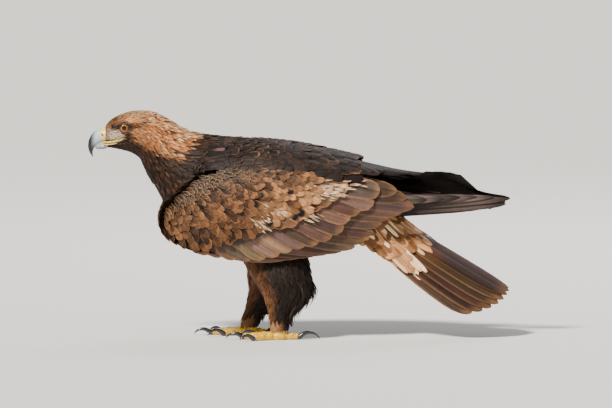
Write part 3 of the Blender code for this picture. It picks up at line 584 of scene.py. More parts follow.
# Colours of the plumage
DARK = np.array((0.012, 0.0062, 0.0040))
BLACKISH = np.array((0.0045, 0.0033, 0.0030))
MANTLE_TONE = np.array((0.0125, 0.0073, 0.0058))
BUFF = np.array((0.19, 0.092, 0.04))
GOLD = np.array((0.32, 0.105, 0.022))
CREAM = np.array((0.66, 0.45, 0.26))
CARAMEL = np.array((0.098, 0.040, 0.0145))
TAN = np.array((0.24, 0.112, 0.047))
GREY_BROWN = np.array((0.036, 0.021, 0.0150))
TAUPE = np.array((0.066, 0.047, 0.038))
LORE_GREY = np.array((0.42, 0.37, 0.32))
SHADED_BLUE = np.array((0.012, 0.013, 0.018))
DARKEST = 0.002
LIGHTEST = 0.95

# Head relief: brows over the eyes, hollows round them
BROW_PATH = np.array([(-328, 370.0), (-317, 374.6), (-304, 376.8), (-291, 374.6)])
BROW_OUT = 9.0
BROW_REACH = 3.6
SOCKET_DEPTH = 2.5
SOCKET_REACH = 9
FACE_HALF_WIDTH = 12


def head(station, turn, height):
    """Body surface with the brow ridges and the eye hollows of the head."""
    points = body(station, turn, height)
    x, y, z = points[..., 0], points[..., 1], points[..., 2]
    nearest = np.full(x.shape, 1e3)
    for a, b in zip(BROW_PATH[:-1], BROW_PATH[1:]):
        run = b - a
        t = np.clip(((x - a[0]) * run[0] + (z - a[1]) * run[1]) / (run @ run), 0, 1)
        nearest = np.minimum(nearest, np.hypot(x - a[0] - t * run[0], z - a[1] - t * run[1]))
    out = BROW_OUT * np.exp(-(nearest / BROW_REACH) ** 2)
    eye = np.hypot(x - EYE_CENTRE[0], z - EYE_CENTRE[2])
    out = out - SOCKET_DEPTH * np.exp(-(eye / SOCKET_REACH) ** 4)
    points[..., 1] += np.clip(y / FACE_HALF_WIDTH, -1, 1) * out
    return points


# Skin
def tube_parts(rings):
    """Return vertices and faces of a closed tube of rings."""
    rings = np.asarray(rings, float)
    rows, count = rings.shape[:2]
    ends = [rings[0].mean(axis=0), rings[-1].mean(axis=0)]
    vertices = np.concatenate([rings.reshape(-1, 3), ends])
    faces = grid_faces(rows, count, True)
    for k in range(count):
        n = (k + 1) % count
        faces.append((rows * count, n, k))
        faces.append((rows * count + 1, (rows - 1) * count + k, (rows - 1) * count + n))
    return vertices, faces


def fused(name, parts, material, voxel, rounds):
    """Fuse closed parts into one surface by remeshing them together and smoothing the result."""
    vertices = []
    faces = []
    for part_vertices, part_faces in parts:
        start = sum(len(v) for v in vertices)
        vertices.append(part_vertices)
        faces += [tuple(i + start for i in face) for face in part_faces]
    obj = new_mesh(name, np.concatenate(vertices), faces, material)
    remesh = obj.modifiers.new("fuse", "REMESH")
    remesh.mode = "VOXEL"
    remesh.voxel_size = voxel * MM
    relax = obj.modifiers.new("relax", "SMOOTH")
    relax.factor = 0.5
    relax.iterations = rounds
    bpy.context.view_layer.update()
    made = bpy.data.meshes.new_from_object(obj.evaluated_get(bpy.context.evaluated_depsgraph_get()))
    obj.modifiers.clear()
    obj.data = made
    made.shade_smooth()
    return obj


# Places along the body from which the skin sinks deeper under the feathers, and the bed under the mantle
SKIN_SINKS = (4, 9)
BED_ALONG = (-140, 52)
BED_HALF_WIDTH = 92
BED_DEPTHS = (-6.5, -24.0)
ARM_RINGS = ((0.05, -5), (0.5, -5), (0.85, -6), (0.98, -13), (0.9, -30), (0.5, -38), (0.05, -38))
TAIL_ROOT_RINGS = ((-20, 24, 26), (2, 30, 32), (25, 30, 23), (60, 30, 13), (100, 32, 4), (120, 30, 2.5))


def make_skin():
    """One skin from face to rump, over shoulders, arms, legs and the root of the tail."""
    at, around = grid(np.linspace(0, RUMP, 90), turns(64))
    points = head(at, around, 0 * at)
    eye = np.hypot(points[..., 0] - EYE_CENTRE[0], points[..., 2] - EYE_CENTRE[2])
    height = -1.0 - 4.3 * step(*SKIN_SINKS, at) - 3.0 * np.exp(-(eye / 15) ** 4)
    parts = [tube_parts(head(at, around, height))]
    x, turn = grid(np.linspace(*BED_ALONG, 26), turns(40))
    fade = 12 * (1 - step(-140, -100, x))
    above, below = (mantle(x, BED_HALF_WIDTH * np.sin(turn), depth - fade) for depth in BED_DEPTHS)
    parts.append(tube_parts(np.where(np.cos(turn)[..., None] > 0, above, below)))
    outline = np.array(WING_CORE_OUTLINE, float)
    outline = path_curve(np.concatenate([outline, outline[:1]]))(np.linspace(0, 1, 48, endpoint=False))
    centre = outline.mean(axis=0)
    for side in (-1, 1):
        surface = wing_surface(side)
        parts.append(tube_parts([surface(*(centre + (outline - centre) * size).T, np.float64(height))
                                 for size, height in ARM_RINGS]))
        down, turn = grid(np.linspace(-172, -16, 40), turns(24))
        parts.append(tube_parts(leg_surface(side)(down, turn, -2.5 + 0 * down)))
    turn = turns(24)
    parts.append(tube_parts([tail_surface(along + 0.0 * turn, half_width * np.sin(turn),
                                          half_height * np.cos(turn) - 3)
                             for along, half_width, half_height in TAIL_ROOT_RINGS]))
    skin = fused("skin", parts, skin_mat, 3.0, 3)
    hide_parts("head", "neck", "torso", "wing_left", "wing_right", "thigh_left", "thigh_right",
                "shank_left", "shank_right", "tail")


# Coat of the head, neck and body
def bump(x, z, centre_x, centre_z, reach_x, reach_z, power=1.0):
    """Return how near places are to a point of the side view, from 0 to power, at most LIGHTEST."""
    away = ((x - centre_x) / reach_x) ** 2 + ((z - centre_z) / reach_z) ** 2
    return np.clip(power * np.exp(-away), 0, LIGHTEST)


# Marks of the face: colour, centre and reach in the side view, strength, and least turn from the crown.
# Forehead, brow, streak behind the eye, lore, ring before the eye, and cheek
FACE_MARKS = ((CARAMEL * 0.55, -331, 379, 12, 7, 1.0, -1), (BUFF * 2.0, -303, 381, 9, 3, 0.8, 0.3),
              (BLACKISH, -281, 376, 9, 3.5, 1.3, -1), ((0.24, 0.20, 0.16), -328, 354, 11, 9, 1.5, -1),
              ((0.014, 0.012, 0.011), -321, 369, 10, 4, 1.5, -1), (DARK, -307, 354, 7, 6, 1.4, -1))
BARE_EYE = 10.3
BARE_GAPE = 3.0


def head_tones(points, turn):
    """Return base and rim colours of the head's and neck's feathers by place."""
    count = len(points)
    x, z = points[:, 0], points[:, 2]
    side = np.abs(turn)
    luck = draw.uniform(0, 1, count)
    # Buff with brown streaks, a paler crown, the marks, and dark on the throat
    tone = mix(BUFF * 1.1, DARK * 1.8, luck ** 1.2)
    tone = mix(tone, CREAM * 0.26, (1 - step(0.35, 1.1, side)) * (1 - 0.8 * luck))
    for colour, *place, least_turn in FACE_MARKS:
        tone = mix(tone, colour, bump(x, z, *place) * (side > least_turn))
    tone = mix(tone, DARK * 1.2, (1 - step(342, 352, z + 0.12 * (x + 290))) * step(-322, -304, x))
    tone = mix(tone, DARK, step(1.9, 2.4, side))
    # Nape and sides of the neck: gold above a slanting line, dark below and behind it
    line = 336 - 0.5 * (np.clip(x, -270, -190) + 262)
    upper = step(-7, 9, z - line + draw.normal(0, 3, count))
    rear = step(-8, 10, x + 176 + (357 - z) * 0.77 + draw.normal(0, 5, count))
    golden = upper * (1 - rear)
    neck = step(-285, -262, x)
    tone = mix(tone, mix(DARK, mix(GOLD * 0.42, DARK * 1.2, luck), golden), neck)
    pale = mix(CREAM * 0.9, GOLD * 1.1, np.clip(1.3 * luck - 0.1 + 0.5 * step(0.5, 1.1, side), 0, 1))
    light = mix(mix(DARK * 1.2, CARAMEL * 0.9, luck ** 5), pale, golden)
    light = mix(tone * (1.6 + 1.3 * luck)[:, None] * np.array((1.1, 0.95, 0.8)), light, neck)
    return tone, light


def make_head_coat():
    """Small feathers of head and throat, and bristles before the eyes."""
    roots = scatter(head, 0.12, 5.6, lambda at: (1.8 + 0.35 * at, 1.6 + 0.28 * at), -math.pi, math.pi)
    points = head(*roots.T, 0 * roots[:, 0])
    x, y, z = points.T
    near_eye = np.hypot(x - EYE_CENTRE[0] + 2, z - EYE_CENTRE[2]) < BARE_EYE
    gape = (x < -304) & (np.abs(z - 344 - 0.12 * (x + 340)) < BARE_GAPE)
    keep = ~((np.abs(y) > 8) & (near_eye | gape))
    roots = roots[keep]
    tone, light = head_tones(points[keep], roots[:, 1])
    size = step(0.0, 5.0, roots[:, 0])
    count = len(roots)
    feathers("head_coat", head, roots, 5.4 + 11.5 * size + draw.normal(0, 0.6, count), 1.7 + 2.2 * size,
             draw.normal(0, 0.15, count), (-0.5, 1.1 + 0.8 * size), tinted(tone * 0.45, 0.2, 1),
             tinted(light, 0.2, 0.3), tinted(light, 0.2, 0.6 - 0.1 * size),
             outline="tiny", thickness=0.25, tilt=draw.normal(0, 0.18, count))
    # Short bristles of the lores
    roots = scatter(head, 0.15, 2.3, lambda at: (1.2, 1.2), -2.2, 2.2)
    x, y, z = head(*roots.T, 0 * roots[:, 0]).T
    reach = np.hypot((x + 329) / 12, (z - 356) / 9) + draw.normal(0, 0.15, len(x))
    keep = (np.abs(y) > 7) & (reach < 1) & (z > 346.5)
    roots, reach = roots[keep], reach[keep]
    count = len(roots)
    grey = tinted(LORE_GREY * (1.05 - 0.75 * np.clip(reach, 0, 1) ** 2)[:, None], 0.3, 1)
    feathers("lore_bristles", head, roots, draw.uniform(3, 5.5, count), 0.6,
             draw.normal(0, 0.3, count) - 0.2 * np.sign(roots[:, 1]), (-0.2, 1.3), grey, grey,
             outline="hair", thickness=0.2)


def make_hackles():
    """Pointed feathers of nape and neck."""
    roots = scatter(head, 4.4, 10.6, lambda at: (3.6 + 0.4 * (at - 4.5), 3.3 + 0.35 * (at - 4.5)),
                    -math.pi, math.pi)
    count = len(roots)
    size = step(4.4, 10.5, roots[:, 0])
    length = 19 + 17 * size + draw.normal(0, 1.5, count)
    tone, light = head_tones(head(roots[:, 0] + 0.7 * length / 26, roots[:, 1], 0 * size), roots[:, 1])
    yaw = draw.normal(0, 0.13, count) - 0.18 * np.sign(roots[:, 1]) * size * (np.abs(roots[:, 1]) > 0.4)
    feathers("hackles", head, roots, length, 3.7 + 3.6 * size, yaw,
             (-3.0 - size, 2.2 + draw.uniform(-0.6, 1.2, count)), tinted(tone, 0.18, 1),
             tinted(light, 0.15, 0.25),
             with_alpha(spread_tones(light, 0.15), draw.uniform(0.5, 0.8, count)), outline="lance",
             camber=0.1, tilt=draw.normal(0, 0.14, count), thickness=0.4)


def make_underparts():
    """Feathers of breast, flanks and belly."""
    roots = scatter(body, 9.3, 17.9, lambda at: (8.0, 7.0), 0.75, math.tau - 0.75)
    count = len(roots)
    base = shade(DARK, count, 0.25, 1)
    rims = shade(CARAMEL * 0.7, count, 0.4, 0.5)
    feathers("underparts_coat", body, roots, draw.normal(31, 3, count), draw.normal(13, 1, count),
             draw.normal(0, 0.12, count), (-4.5, 1.5), base, rims, outline="lance", thickness=0.5)


# Where the mantle's feathers start and end, how far down each side they reach, and where the neck ends
MANTLE_ALONG = (-206, 62)
MANTLE_REACH = 98
NECK_END = -172
SCAPULARS = 13
TERTIALS = 14


def make_mantle():
    """Feathers of the back and shoulders, longer towards the rear."""
    front_end = MANTLE_ALONG[0]
    roots = scatter(mantle, *MANTLE_ALONG, lambda at: (7.5 + 0.03 * (at - front_end),
                                                       8.5 + 0.028 * (at - front_end)),
                    -MANTLE_REACH, MANTLE_REACH)
    ahead = NECK_END - roots[:, 0]
    roots = roots[(ahead < 0) | (np.abs(roots[:, 1]) > 28 + 0.3 * ahead)]
    count = len(roots)
    grow = step(front_end, 60, roots[:, 0])
    front = 1 - step(front_end, -150, roots[:, 0])
    base = shade(MANTLE_TONE, count, 0.25, 1)
    base[:, :3] *= np.exp(draw.normal(0, 0.45, (count, 1)))
    rims = spread_tones(np.tile(TAN * 0.7, (count, 1)), 0.5)
    feathers("mantle_coat", mantle, roots, 26 + 36 * grow + draw.normal(0, 2.5, count), 10.5 + 12 * grow,
             0.12 * roots[:, 1] / MANTLE_REACH + draw.normal(0, 0.08, count),
             (-6.5 - 24 * front, 1.0 - 14 * front), base,
             with_alpha(rims, draw.uniform(0.0, 0.75, count) ** 1.5), outline="square", thickness=0.5,
             tilt=draw.normal(0, 0.08, count))
    # Long shoulder feathers, down over the folded wing
    for side in (-1, 1):
        t = np.linspace(0, 1, SCAPULARS)
        roots = np.stack([-112 + 160 * t, side * (62 + 14 * np.sin(math.pi * t))], axis=1)
        base = shade(MANTLE_TONE * 1.2, SCAPULARS, 0.15, 1)
        rims = shade(GREY_BROWN * 1.6, SCAPULARS, 0.15, 0.45)
        feathers("scapulars_" + ("left" if side < 0 else "right"), mantle, roots, 68 + 26 * t, 20 + 6 * t,
                 side * (0.30 - 0.12 * t) + draw.normal(0, 0.03, SCAPULARS),
                 (-5.0 + 0.2 * t, 0.4 + 0.8 * t), base, rims, outline="flight", thickness=0.6)
    # Innermost wing feathers, laid over the rump in two layers
    reach = np.linspace(-78, 92, TERTIALS)
    count = 2 * TERTIALS
    under = np.arange(count) // TERTIALS
    reach = np.concatenate([reach, reach * 0.8])
    roots = np.stack([46 + 16 * under + draw.normal(0, 4, count), reach], axis=1)
    length = np.interp(reach, (-78, -30, 40, 92), (95, 165, 190, 190)) + draw.normal(0, 5, count)
    sink = 3 - (28 + 30 * np.exp(-(reach / 45) ** 2)) * under
    lift = 2.0 * (np.arange(count) % 2)
    feathers("tertials", mantle, roots, length, 34, -reach * 0.0012 + draw.normal(0, 0.02, count),
             (-16.0 - 14 * under + lift, -11.0 + sink + lift), shade(BLACKISH * 1.4, count, 0.15, 1),
             shade(GREY_BROWN, count, 0.15, 0.3), shade(BLACKISH * 2.2, count, 0.2, 0.5),
             outline="flight", thickness=0.6)


# Coat of the wings
FLOW_TOP = 8
FLOW_FRONT = 58
FLOW_REAR = 20
COVERT_LENGTH = 12
COVERT_GROWTH = 24


def flow(x, z):
    """Return the slope of the small wing feathers in radians: steeper lower down and in front."""
    sunk = np.clip((310 - z) / 150, 0, 1)
    rear = step(-90, 60, x)
    return -np.radians(FLOW_TOP + FLOW_FRONT * sunk ** 1.1 * (1 - rear) + FLOW_REAR * sunk * rear)


def inside_outline(x, z):
    """Return which places lie inside the arm's outline."""
    outline = np.array(WING_CORE_OUTLINE, float)
    result = np.zeros(x.shape, bool)
    for a, b in zip(outline, np.roll(outline, -1, axis=0)):
        crosses = (a[1] > z) != (b[1] > z)
        result ^= crosses & (x < (b[0] - a[0]) * (z - a[1]) / (b[1] - a[1] + 1e-9) + a[0])
    return result


def sown(count, distance, low, high, keep):
    """Return random places at least distance(x, z) apart inside a region."""
    tries = draw.uniform(low, high, (count, 2))
    tries = tries[keep(tries[:, 0], tries[:, 1])]
    apart = distance(tries[:, 0], tries[:, 1])
    chosen = np.empty((0, 2))
    for place, reach in zip(tries, apart):
        if len(chosen) == 0 or np.min(np.sum((chosen - place) ** 2, axis=1)) > reach ** 2:
            chosen = np.concatenate([chosen, place[None]])
    return chosen


def covert_size(x, z):
    """Return how large the wing's small feathers are at a place, from 0 at the wrist to 1."""
    return np.clip(0.35 * (x + 235) / 130 + 0.85 * np.clip((300 - z) / 130, 0, 1) - 0.15, 0, 1)


# Middle and reach of the paler middle of the wing and of its pale patches, and the single dark feathers
PALE_MIDDLE = (0, 250, 75, 34)
PALE_PATCHES = [(66, 266, 30, 11), (40, 262, 26, 12), (-50, 232, 18, 9), (-70, 209, 12, 8), (8, 222, 14, 9)]
DARK_COVERTS = [(-92, 255), (-117, 241), (-186, 190), (-146, 186), (-60, 204), (-24, 224), (-10, 200)]
DARK_SHARE = 0.02


def wing_tones(x, z, size):
    """Return base, rim and tip colours of the wing's small feathers by place."""
    count = len(x)
    low = np.clip((300 - z) / 140, 0, 1)
    luck = draw.uniform(0, 1, count)
    tip = mix(CARAMEL * 1.6, DARK * 1.2, luck ** 1.1)
    tip = mix(tip, mix(TAN * 2.6, CARAMEL * 1.3, luck), bump(x, z, *PALE_MIDDLE))
    tip = mix(tip, GREY_BROWN * 1.2, 0.5 * step(-40, 60, x) * low)
    wrist = 1 - step(0.12, 0.42, size)
    tip = mix(tip, DARK * 2.2, 0.8 * wrist)
    # The base is the tip's colour darkened, painted shade at the roots where the small feathers overlap;
    # the pale patches laid on the base below are the wing's own colour
    base = tip * 0.3
    for patch in PALE_PATCHES:
        near = bump(x, z, *patch)
        base = mix(base, CREAM * 0.95, near)
        tip = mix(tip, TAN * 1.5, 0.6 * near)
    dark = draw.uniform(0, 1, count) < DARK_SHARE
    for centre_x, centre_z in DARK_COVERTS:
        dark[np.argmin(np.hypot(x - centre_x, z - centre_z))] = True
    tip = np.where(dark[:, None], BLACKISH, tip)
    rim = mix(mix(TAN * 1.4, CARAMEL, luck), CREAM * 0.5, wrist)
    return base, rim, tip


def wing_tier(name, surface, roots, tips, count, widths, heights, climb, colours, outline="flight",
              bends=(0, 0), tilt=-0.06):
    """Lay one row of long feathers from a line of roots to a line of tips, each over the last.

    colours are those of base, rim and tip: each a row for each feather, or what shade takes.
    """
    base, rims, tip_colours = (shade(colour[0], count, *colour[1:]) if isinstance(colour, tuple)
                               else colour for colour in colours)
    t = np.linspace(0, 1, count)
    root = path_curve(roots)(t)
    tip = path_curve(tips)(t)
    start = surface(*root.T, 0 * t)
    scale_x = np.linalg.norm(surface(root[:, 0] + PROBE, root[:, 1], 0 * t) - start, axis=-1) / PROBE
    scale_z = np.linalg.norm(surface(root[:, 0], root[:, 1] + PROBE, 0 * t) - start, axis=-1) / PROBE
    dx = (tip[:, 0] - root[:, 0]) * scale_x
    dz = (tip[:, 1] - root[:, 1]) * scale_z
    widths, bends = (pair[0] + (pair[1] - pair[0]) * t for pair in (widths, bends))
    heights = [height + climb * np.arange(count) for height in heights]
    feathers(name, surface, root, np.hypot(dx, dz), widths, np.arctan2(dz, dx), heights, base, rims,
             tip_colours, outline=outline, camber=0.03, tilt=tilt, bend=bends,
             thickness=0.7)


# Lines that the roots and the tips of each row of long feathers lie along, from the first to the last
PRIMARIES = ([(-130, 186), (-90, 204), (-40, 224)],
             [(334, 230), (370, 236), (380, 240), (368, 246), (349, 250), (310, 252), (225, 247)])
SECONDARIES = ([(-192, 174), (-149, 205), (-96, 240), (-44, 270), (0, 287)],
               [(-6, 146), (52, 152), (104, 164), (134, 189), (154, 211), (184, 225), (201, 232),
                (192, 246), (172, 263)])
GREATER_COVERTS = ([(-222, 196), (-184, 210), (-149, 222), (-114, 234), (-79, 248), (-44, 261), (-18, 273),
                    (9, 284)],
                   [(-156, 156), (-124, 148), (-90, 142), (-48, 146), (0, 164), (38, 174), (82, 201),
                    (93, 222), (130, 241), (140, 262)])
MEDIAN_COVERTS = ([(-226, 226), (-190, 240), (-140, 252), (-90, 264), (-50, 276), (-20, 288)],
                  [(-182, 184), (-146, 178), (-114, 178), (-79, 192), (-44, 202), (-5, 206), (18, 228),
                   (52, 243), (84, 268)])
PRIMARY_COUNT = 8
SECONDARY_COUNT = 14
GREATER_COUNT = 15
MEDIAN_COUNT = 17
RIGHT_SHADOW = 0.5


def wing_edge(flat):
    """Surface round the front edge of a wing: the way down the edge, and the way inwards."""
    line = path_curve(WING_FRONT)

    def surface(along, inward, height):
        along, inward, height = np.broadcast_arrays(along, inward, height)
        share = np.clip(along / WING_EDGE_LENGTH, 0, 1)
        past = along - share * WING_EDGE_LENGTH
        at = line(share)
        ahead = unit(line(np.clip(share + 0.02, 0, 1)) - line(np.clip(share - 0.02, 0, 1)))
        bulge = height + EDGE_BULGE - 0.005 * (inward - 16) ** 2
        return flat(at[..., 0] + ahead[..., 1] * bulge + ahead[..., 0] * past,
                    at[..., 1] - ahead[..., 0] * bulge + ahead[..., 1] * past, -2 - inward)
    return surface


def make_wing(name, side):
    """Rows of long feathers, small coverts over them, and scales round the front edge."""
    flat = wing_surface(side)
    if side < 0:
        surface = flat
    else:
        def surface(x, z, height):
            share = np.clip((z - wing_widest(x)) / (wing_top(x) - wing_widest(x)), 0, 1)
            return flat(x, z + right_rise(x) * (1 - share), height)
    # The right wing's primaries get darker tips by RIGHT_SHADOW: painted shade of the far wing
    shadow = 1.0 if side < 0 else RIGHT_SHADOW
    # In each row the base colour is much darker than the tip: painted shade at the roots, where each
    # feather lies under the next, over the feathers' own dark colour
    wing_tier("primaries_" + name, flat, *PRIMARIES, PRIMARY_COUNT, (25, 30), (-27, -25), 1.2,
              ((BLACKISH, 0.08, 1), (BLACKISH * 2, 0.08, 0.85), (TAUPE * shadow * 1.3, 0.25, 0.72)),
              bends=(13, 9), tilt=-0.16)
    # The right wing's raised primaries are near black all over: painted shade of the far wing, over their
    # own dark colour
    if side > 0:
        wing_tier("raised_primaries_" + name, surface, *PRIMARIES, PRIMARY_COUNT, (48, 54), (-27, -25), 0.6,
                  ((BLACKISH * 1.5, 0.08, 1), (BLACKISH * 3, 0.08, 0.35), (BLACKISH * 2, 0.08, 0.75)),
                  bends=(RIGHT_PRIMARY_BOW - 8, RIGHT_PRIMARY_BOW))
    wing_tier("secondaries_" + name, surface, *SECONDARIES, SECONDARY_COUNT, (30, 42),
              (-20, -16.5), 0.55,
              ((BLACKISH * 2, 0.12, 1), (TAN * 0.9, 0.15, 0.5), (GREY_BROWN * 2.0, 0.3, 0.45)),
              bends=(-12, 4))
    wing_tier("greater_coverts_" + name, surface, *GREATER_COVERTS, GREATER_COUNT, (24, 44),
              (-12, -8), 0.2,
              ((BLACKISH * 3, 0.15, 1), (TAN * 1.3, 0.15, 0.6), (GREY_BROWN * 2.8, 0.4, 0.5)),
              outline="square", bends=(-6, 2))
    tone = mix(CARAMEL, GREY_BROWN * 1.4, np.linspace(0, 0.7, MEDIAN_COUNT))
    rims = shade(TAN * 1.6, MEDIAN_COUNT, 0.2, 0.6)
    wing_tier("median_coverts_" + name, surface, *MEDIAN_COVERTS, MEDIAN_COUNT, (24, 36),
              (-7.5, -3.5), 0.12, (with_alpha(tone * 0.3, 1), rims, tinted(tone * 1.5, 0.4, 0.5)),
              outline="square")

    def placed(x, z):
        reach = 0.75 * (COVERT_LENGTH + COVERT_GROWTH * covert_size(x, z))
        toward = flow(x, z)
        return (inside_outline(x, z) & (z > 190 + 0.34 * (x + 150))
                & inside_outline(x + reach * np.cos(toward), z + reach * np.sin(toward)))

    roots = sown(16000, lambda x, z: 2.8 + 6.6 * covert_size(x, z), (-250, 150), (90, 315), placed)
    count = len(roots)
    size = covert_size(*roots.T)
    base, rims, tone = wing_tones(*roots.T, size)
    feathers("lesser_coverts_" + name, surface, roots,
             COVERT_LENGTH + COVERT_GROWTH * size + draw.normal(0, 1, count),
             5.0 + 12.5 * size, flow(*roots.T) + draw.normal(0, 0.2, count), (-4.2, -0.4 + 0.9 * size),
             with_alpha(base, 1), tinted(rims, 0.25, 0.9 - 0.45 * size),
             with_alpha(spread_tones(tone, 0.25), draw.uniform(0.4, 0.7, count)),
             outline="round", thickness=0.5, tilt=draw.normal(0, 0.12, count))
    # Small scales round the front edge of the folded wing
    edge = wing_edge(flat)
    roots = scatter(edge, -12, WING_EDGE_LENGTH, lambda at: (4.6 + 0.016 * at, 4.2 + 0.014 * at), -1, 52)
    count = len(roots)
    along = roots[:, 0] + 12
    inner = step(14, 30, roots[:, 1])
    tone = mix(mix(CARAMEL * 1.3, DARK * 1.4, draw.uniform(0, 1, count)), DARK * 1.2, inner)
    rims = mix(CREAM * 0.4, CARAMEL * 0.7, inner)
    # The scales' base is their tone darkened: painted shade at their roots, where they overlap
    feathers("wing_edge_" + name, edge, roots, 13 + 0.05 * along, 7 + 0.02 * along,
             draw.normal(0, 0.15, count), (-2.0, 1.6), with_alpha(tone * 0.4, 1), with_alpha(rims, 0.7),
             tinted(tone, 0.25, 0.5), outline="round", thickness=0.45,
             tilt=draw.normal(0, 0.1, count))
    # Pale streaks on the coverts
    places = []
    for x, z, reach_x, reach_z in PALE_PATCHES:
        places.append(np.array((x - 6, z + 3)) + draw.normal(0, 0.6, (int(0.10 * reach_x * reach_z) + 6, 2))
                      * (reach_x, reach_z))
    roots = np.concatenate(places)
    count = len(roots)
    feathers("pale_streaks_" + name, surface, roots, draw.uniform(14, 26, count),
             draw.uniform(2, 4.5, count), flow(*roots.T) + draw.normal(0.1, 0.1, count), (-2.0, 0.5),
             shade(CREAM * 0.75, count, 0.3, 1), shade(CREAM * 0.9, count, 0.2, 0.5), outline="lance",
             thickness=0.35, tilt=draw.normal(0, 0.1, count))


# Coat of the tail and the legs: where the swelling round the tail's root changes, and how high it is
SWELL_ALONG = (-90, -30, 2, 25, 60, 105, 150)
SWELL_HEIGHT = (40, 40, 34, 25, 15, 6, 2)
SWELL_REACH = 62
TAIL_FEATHERS = 12
TAIL_FEATHER_START = 40.0
NARROW_SHARE = 0.2


def tail_cover(sign):
    """Surface over the swollen root of the tail, above it or below it."""
    def surface(along, across, height):
        along, across, height = np.broadcast_arrays(along, across, height)
        swell = np.interp(along, SWELL_ALONG, SWELL_HEIGHT)
        swell = swell * np.sqrt(np.maximum(0.02, 1 - (across / SWELL_REACH) ** 2))
        return tail_surface(along, across, sign * (swell + height))
    return surface


def make_tail():
    """Tail feathers, and the coverts above and below them."""
    middle = (TAIL_FEATHERS - 1) / 2
    place = np.arange(TAIL_FEATHERS) - middle
    length = TAIL_LENGTH * (1 - TAIL_TAPER * (np.abs(place) / middle) ** 2.2)
    roots = np.stack([np.full(TAIL_FEATHERS, TAIL_FEATHER_START), place * TAIL_SPACING[0]], axis=1)
    run = length - TAIL_FEATHER_START
    aside = place * (TAIL_SPACING[1] - TAIL_SPACING[0])
    level = -5.0 + 1.3 * (middle - np.abs(place))
    feathers("tail_feathers", tail_surface, roots, np.hypot(run, aside), 44.0, np.arctan2(aside, run),
             (level, level + 0.5), shade(CARAMEL * 0.9, TAIL_FEATHERS, 0.3, 1),
             shade(TAN * 0.9, TAIL_FEATHERS, 0.15, 0.45), shade(DARK * 2.2, TAIL_FEATHERS, 0.35, 0.42),
             outline="flight", camber=0.03, tilt=0.10 * np.sign(place), thickness=0.7)
    # Tail coverts: a few narrow and pale, dark on the shaded side, and like the mantle over the rump
    for label, sign, start in (("upper", 1, -90), ("under", -1, -32)):
        surface = tail_cover(sign)
        roots = scatter(surface, start, 96, lambda at: (13, 11), -56, 56)
        count = len(roots)
        luck = draw.uniform(0, 1, (count, 1))
        tone = np.where(luck < NARROW_SHARE, CREAM * 1.2, np.where(luck < 0.7, TAN * 1.9, CARAMEL * 1.6))
        tone = np.where(roots[:, 1:] > 22, SHADED_BLUE, tone)
        tone = np.where(roots[:, :1] < -25, MANTLE_TONE * (0.7 + luck), tone)
        narrow = luck[:, 0] < NARROW_SHARE
        feathers("tail_coverts_" + label, surface, roots, draw.uniform(44, 66, count) + 14 * narrow,
                 np.where(narrow, 9, draw.uniform(14, 20, count)),
                 roots[:, 1] * 0.006 + draw.normal(0, 0.06, count), (-2.5, 1.5), tinted(tone, 0.25, 1),
                 shade(TAN * 1.5, count, 0.15, 0.45), outline="square", camber=0.04, thickness=0.5,
                 tilt=draw.normal(0, 0.05, count))


LOOSE_LOCKS = 70


def make_leg(name, side):
    """Trousers, their loose locks, and the short coat of the shank."""
    surface = leg_surface(side)
    roots = scatter(surface, -168, -46, lambda at: (6.5, 5.0), -math.pi, math.pi)
    count = len(roots)
    turned = np.abs(roots[:, 1])
    tone = mix(DARK * 0.75, CARAMEL * 1.1, step(1.8, 2.7, turned))
    loose = (1 - step(0.5, 1.2, turned)) * step(-120, -60, roots[:, 0])
    feathers("trousers_" + name, surface, roots, 24 + 14 * loose + draw.normal(0, 2, count), 7.5,
             draw.normal(0, 0.12, count), (-2.5, 2.2 + 3.5 * loose + draw.uniform(-0.5, 1.0, count)),
             tinted(tone, 0.25, 1), tinted(tone * 2.2, 0.2, 0.6), outline="lance", thickness=0.45,
             tilt=draw.normal(0, 0.12, count))
    # Long loose locks down the rear
    count = LOOSE_LOCKS
    roots = np.stack([draw.uniform(-118, -56, count), draw.normal(0, 0.55, count)], axis=1)
    tone = np.where(draw.uniform(0, 1, (count, 1)) < 0.3, GREY_BROWN, DARK * 0.9)
    feathers("trouser_locks_" + name, surface, roots, draw.uniform(34, 52, count),
             draw.uniform(3.5, 7, count), draw.normal(0, 0.15, count), (-2.0, draw.uniform(5, 17, count)),
             tinted(tone, 0.2, 1), tinted(tone * 1.6, 0.2, 0.5), outline="lance", thickness=0.45, ease=1.0,
             tilt=draw.normal(0, 0.15, count))
    # Short feathers down to the toes
    roots = scatter(surface, -56, -21, lambda at: (2.4, 2.0), -math.pi, math.pi)
    count = len(roots)
    tone = mix(DARK, TAN * 1.05, step(0.8, 2.2, np.abs(roots[:, 1])))
    feathers("shank_coat_" + name, surface, roots, draw.normal(9, 1, count), 3.4,
             draw.normal(0, 0.15, count), (-1.5, 0.7), tinted(tone, 0.2, 1), tinted(tone * 1.6, 0.2, 0.6),
             outline="tiny", thickness=0.3)


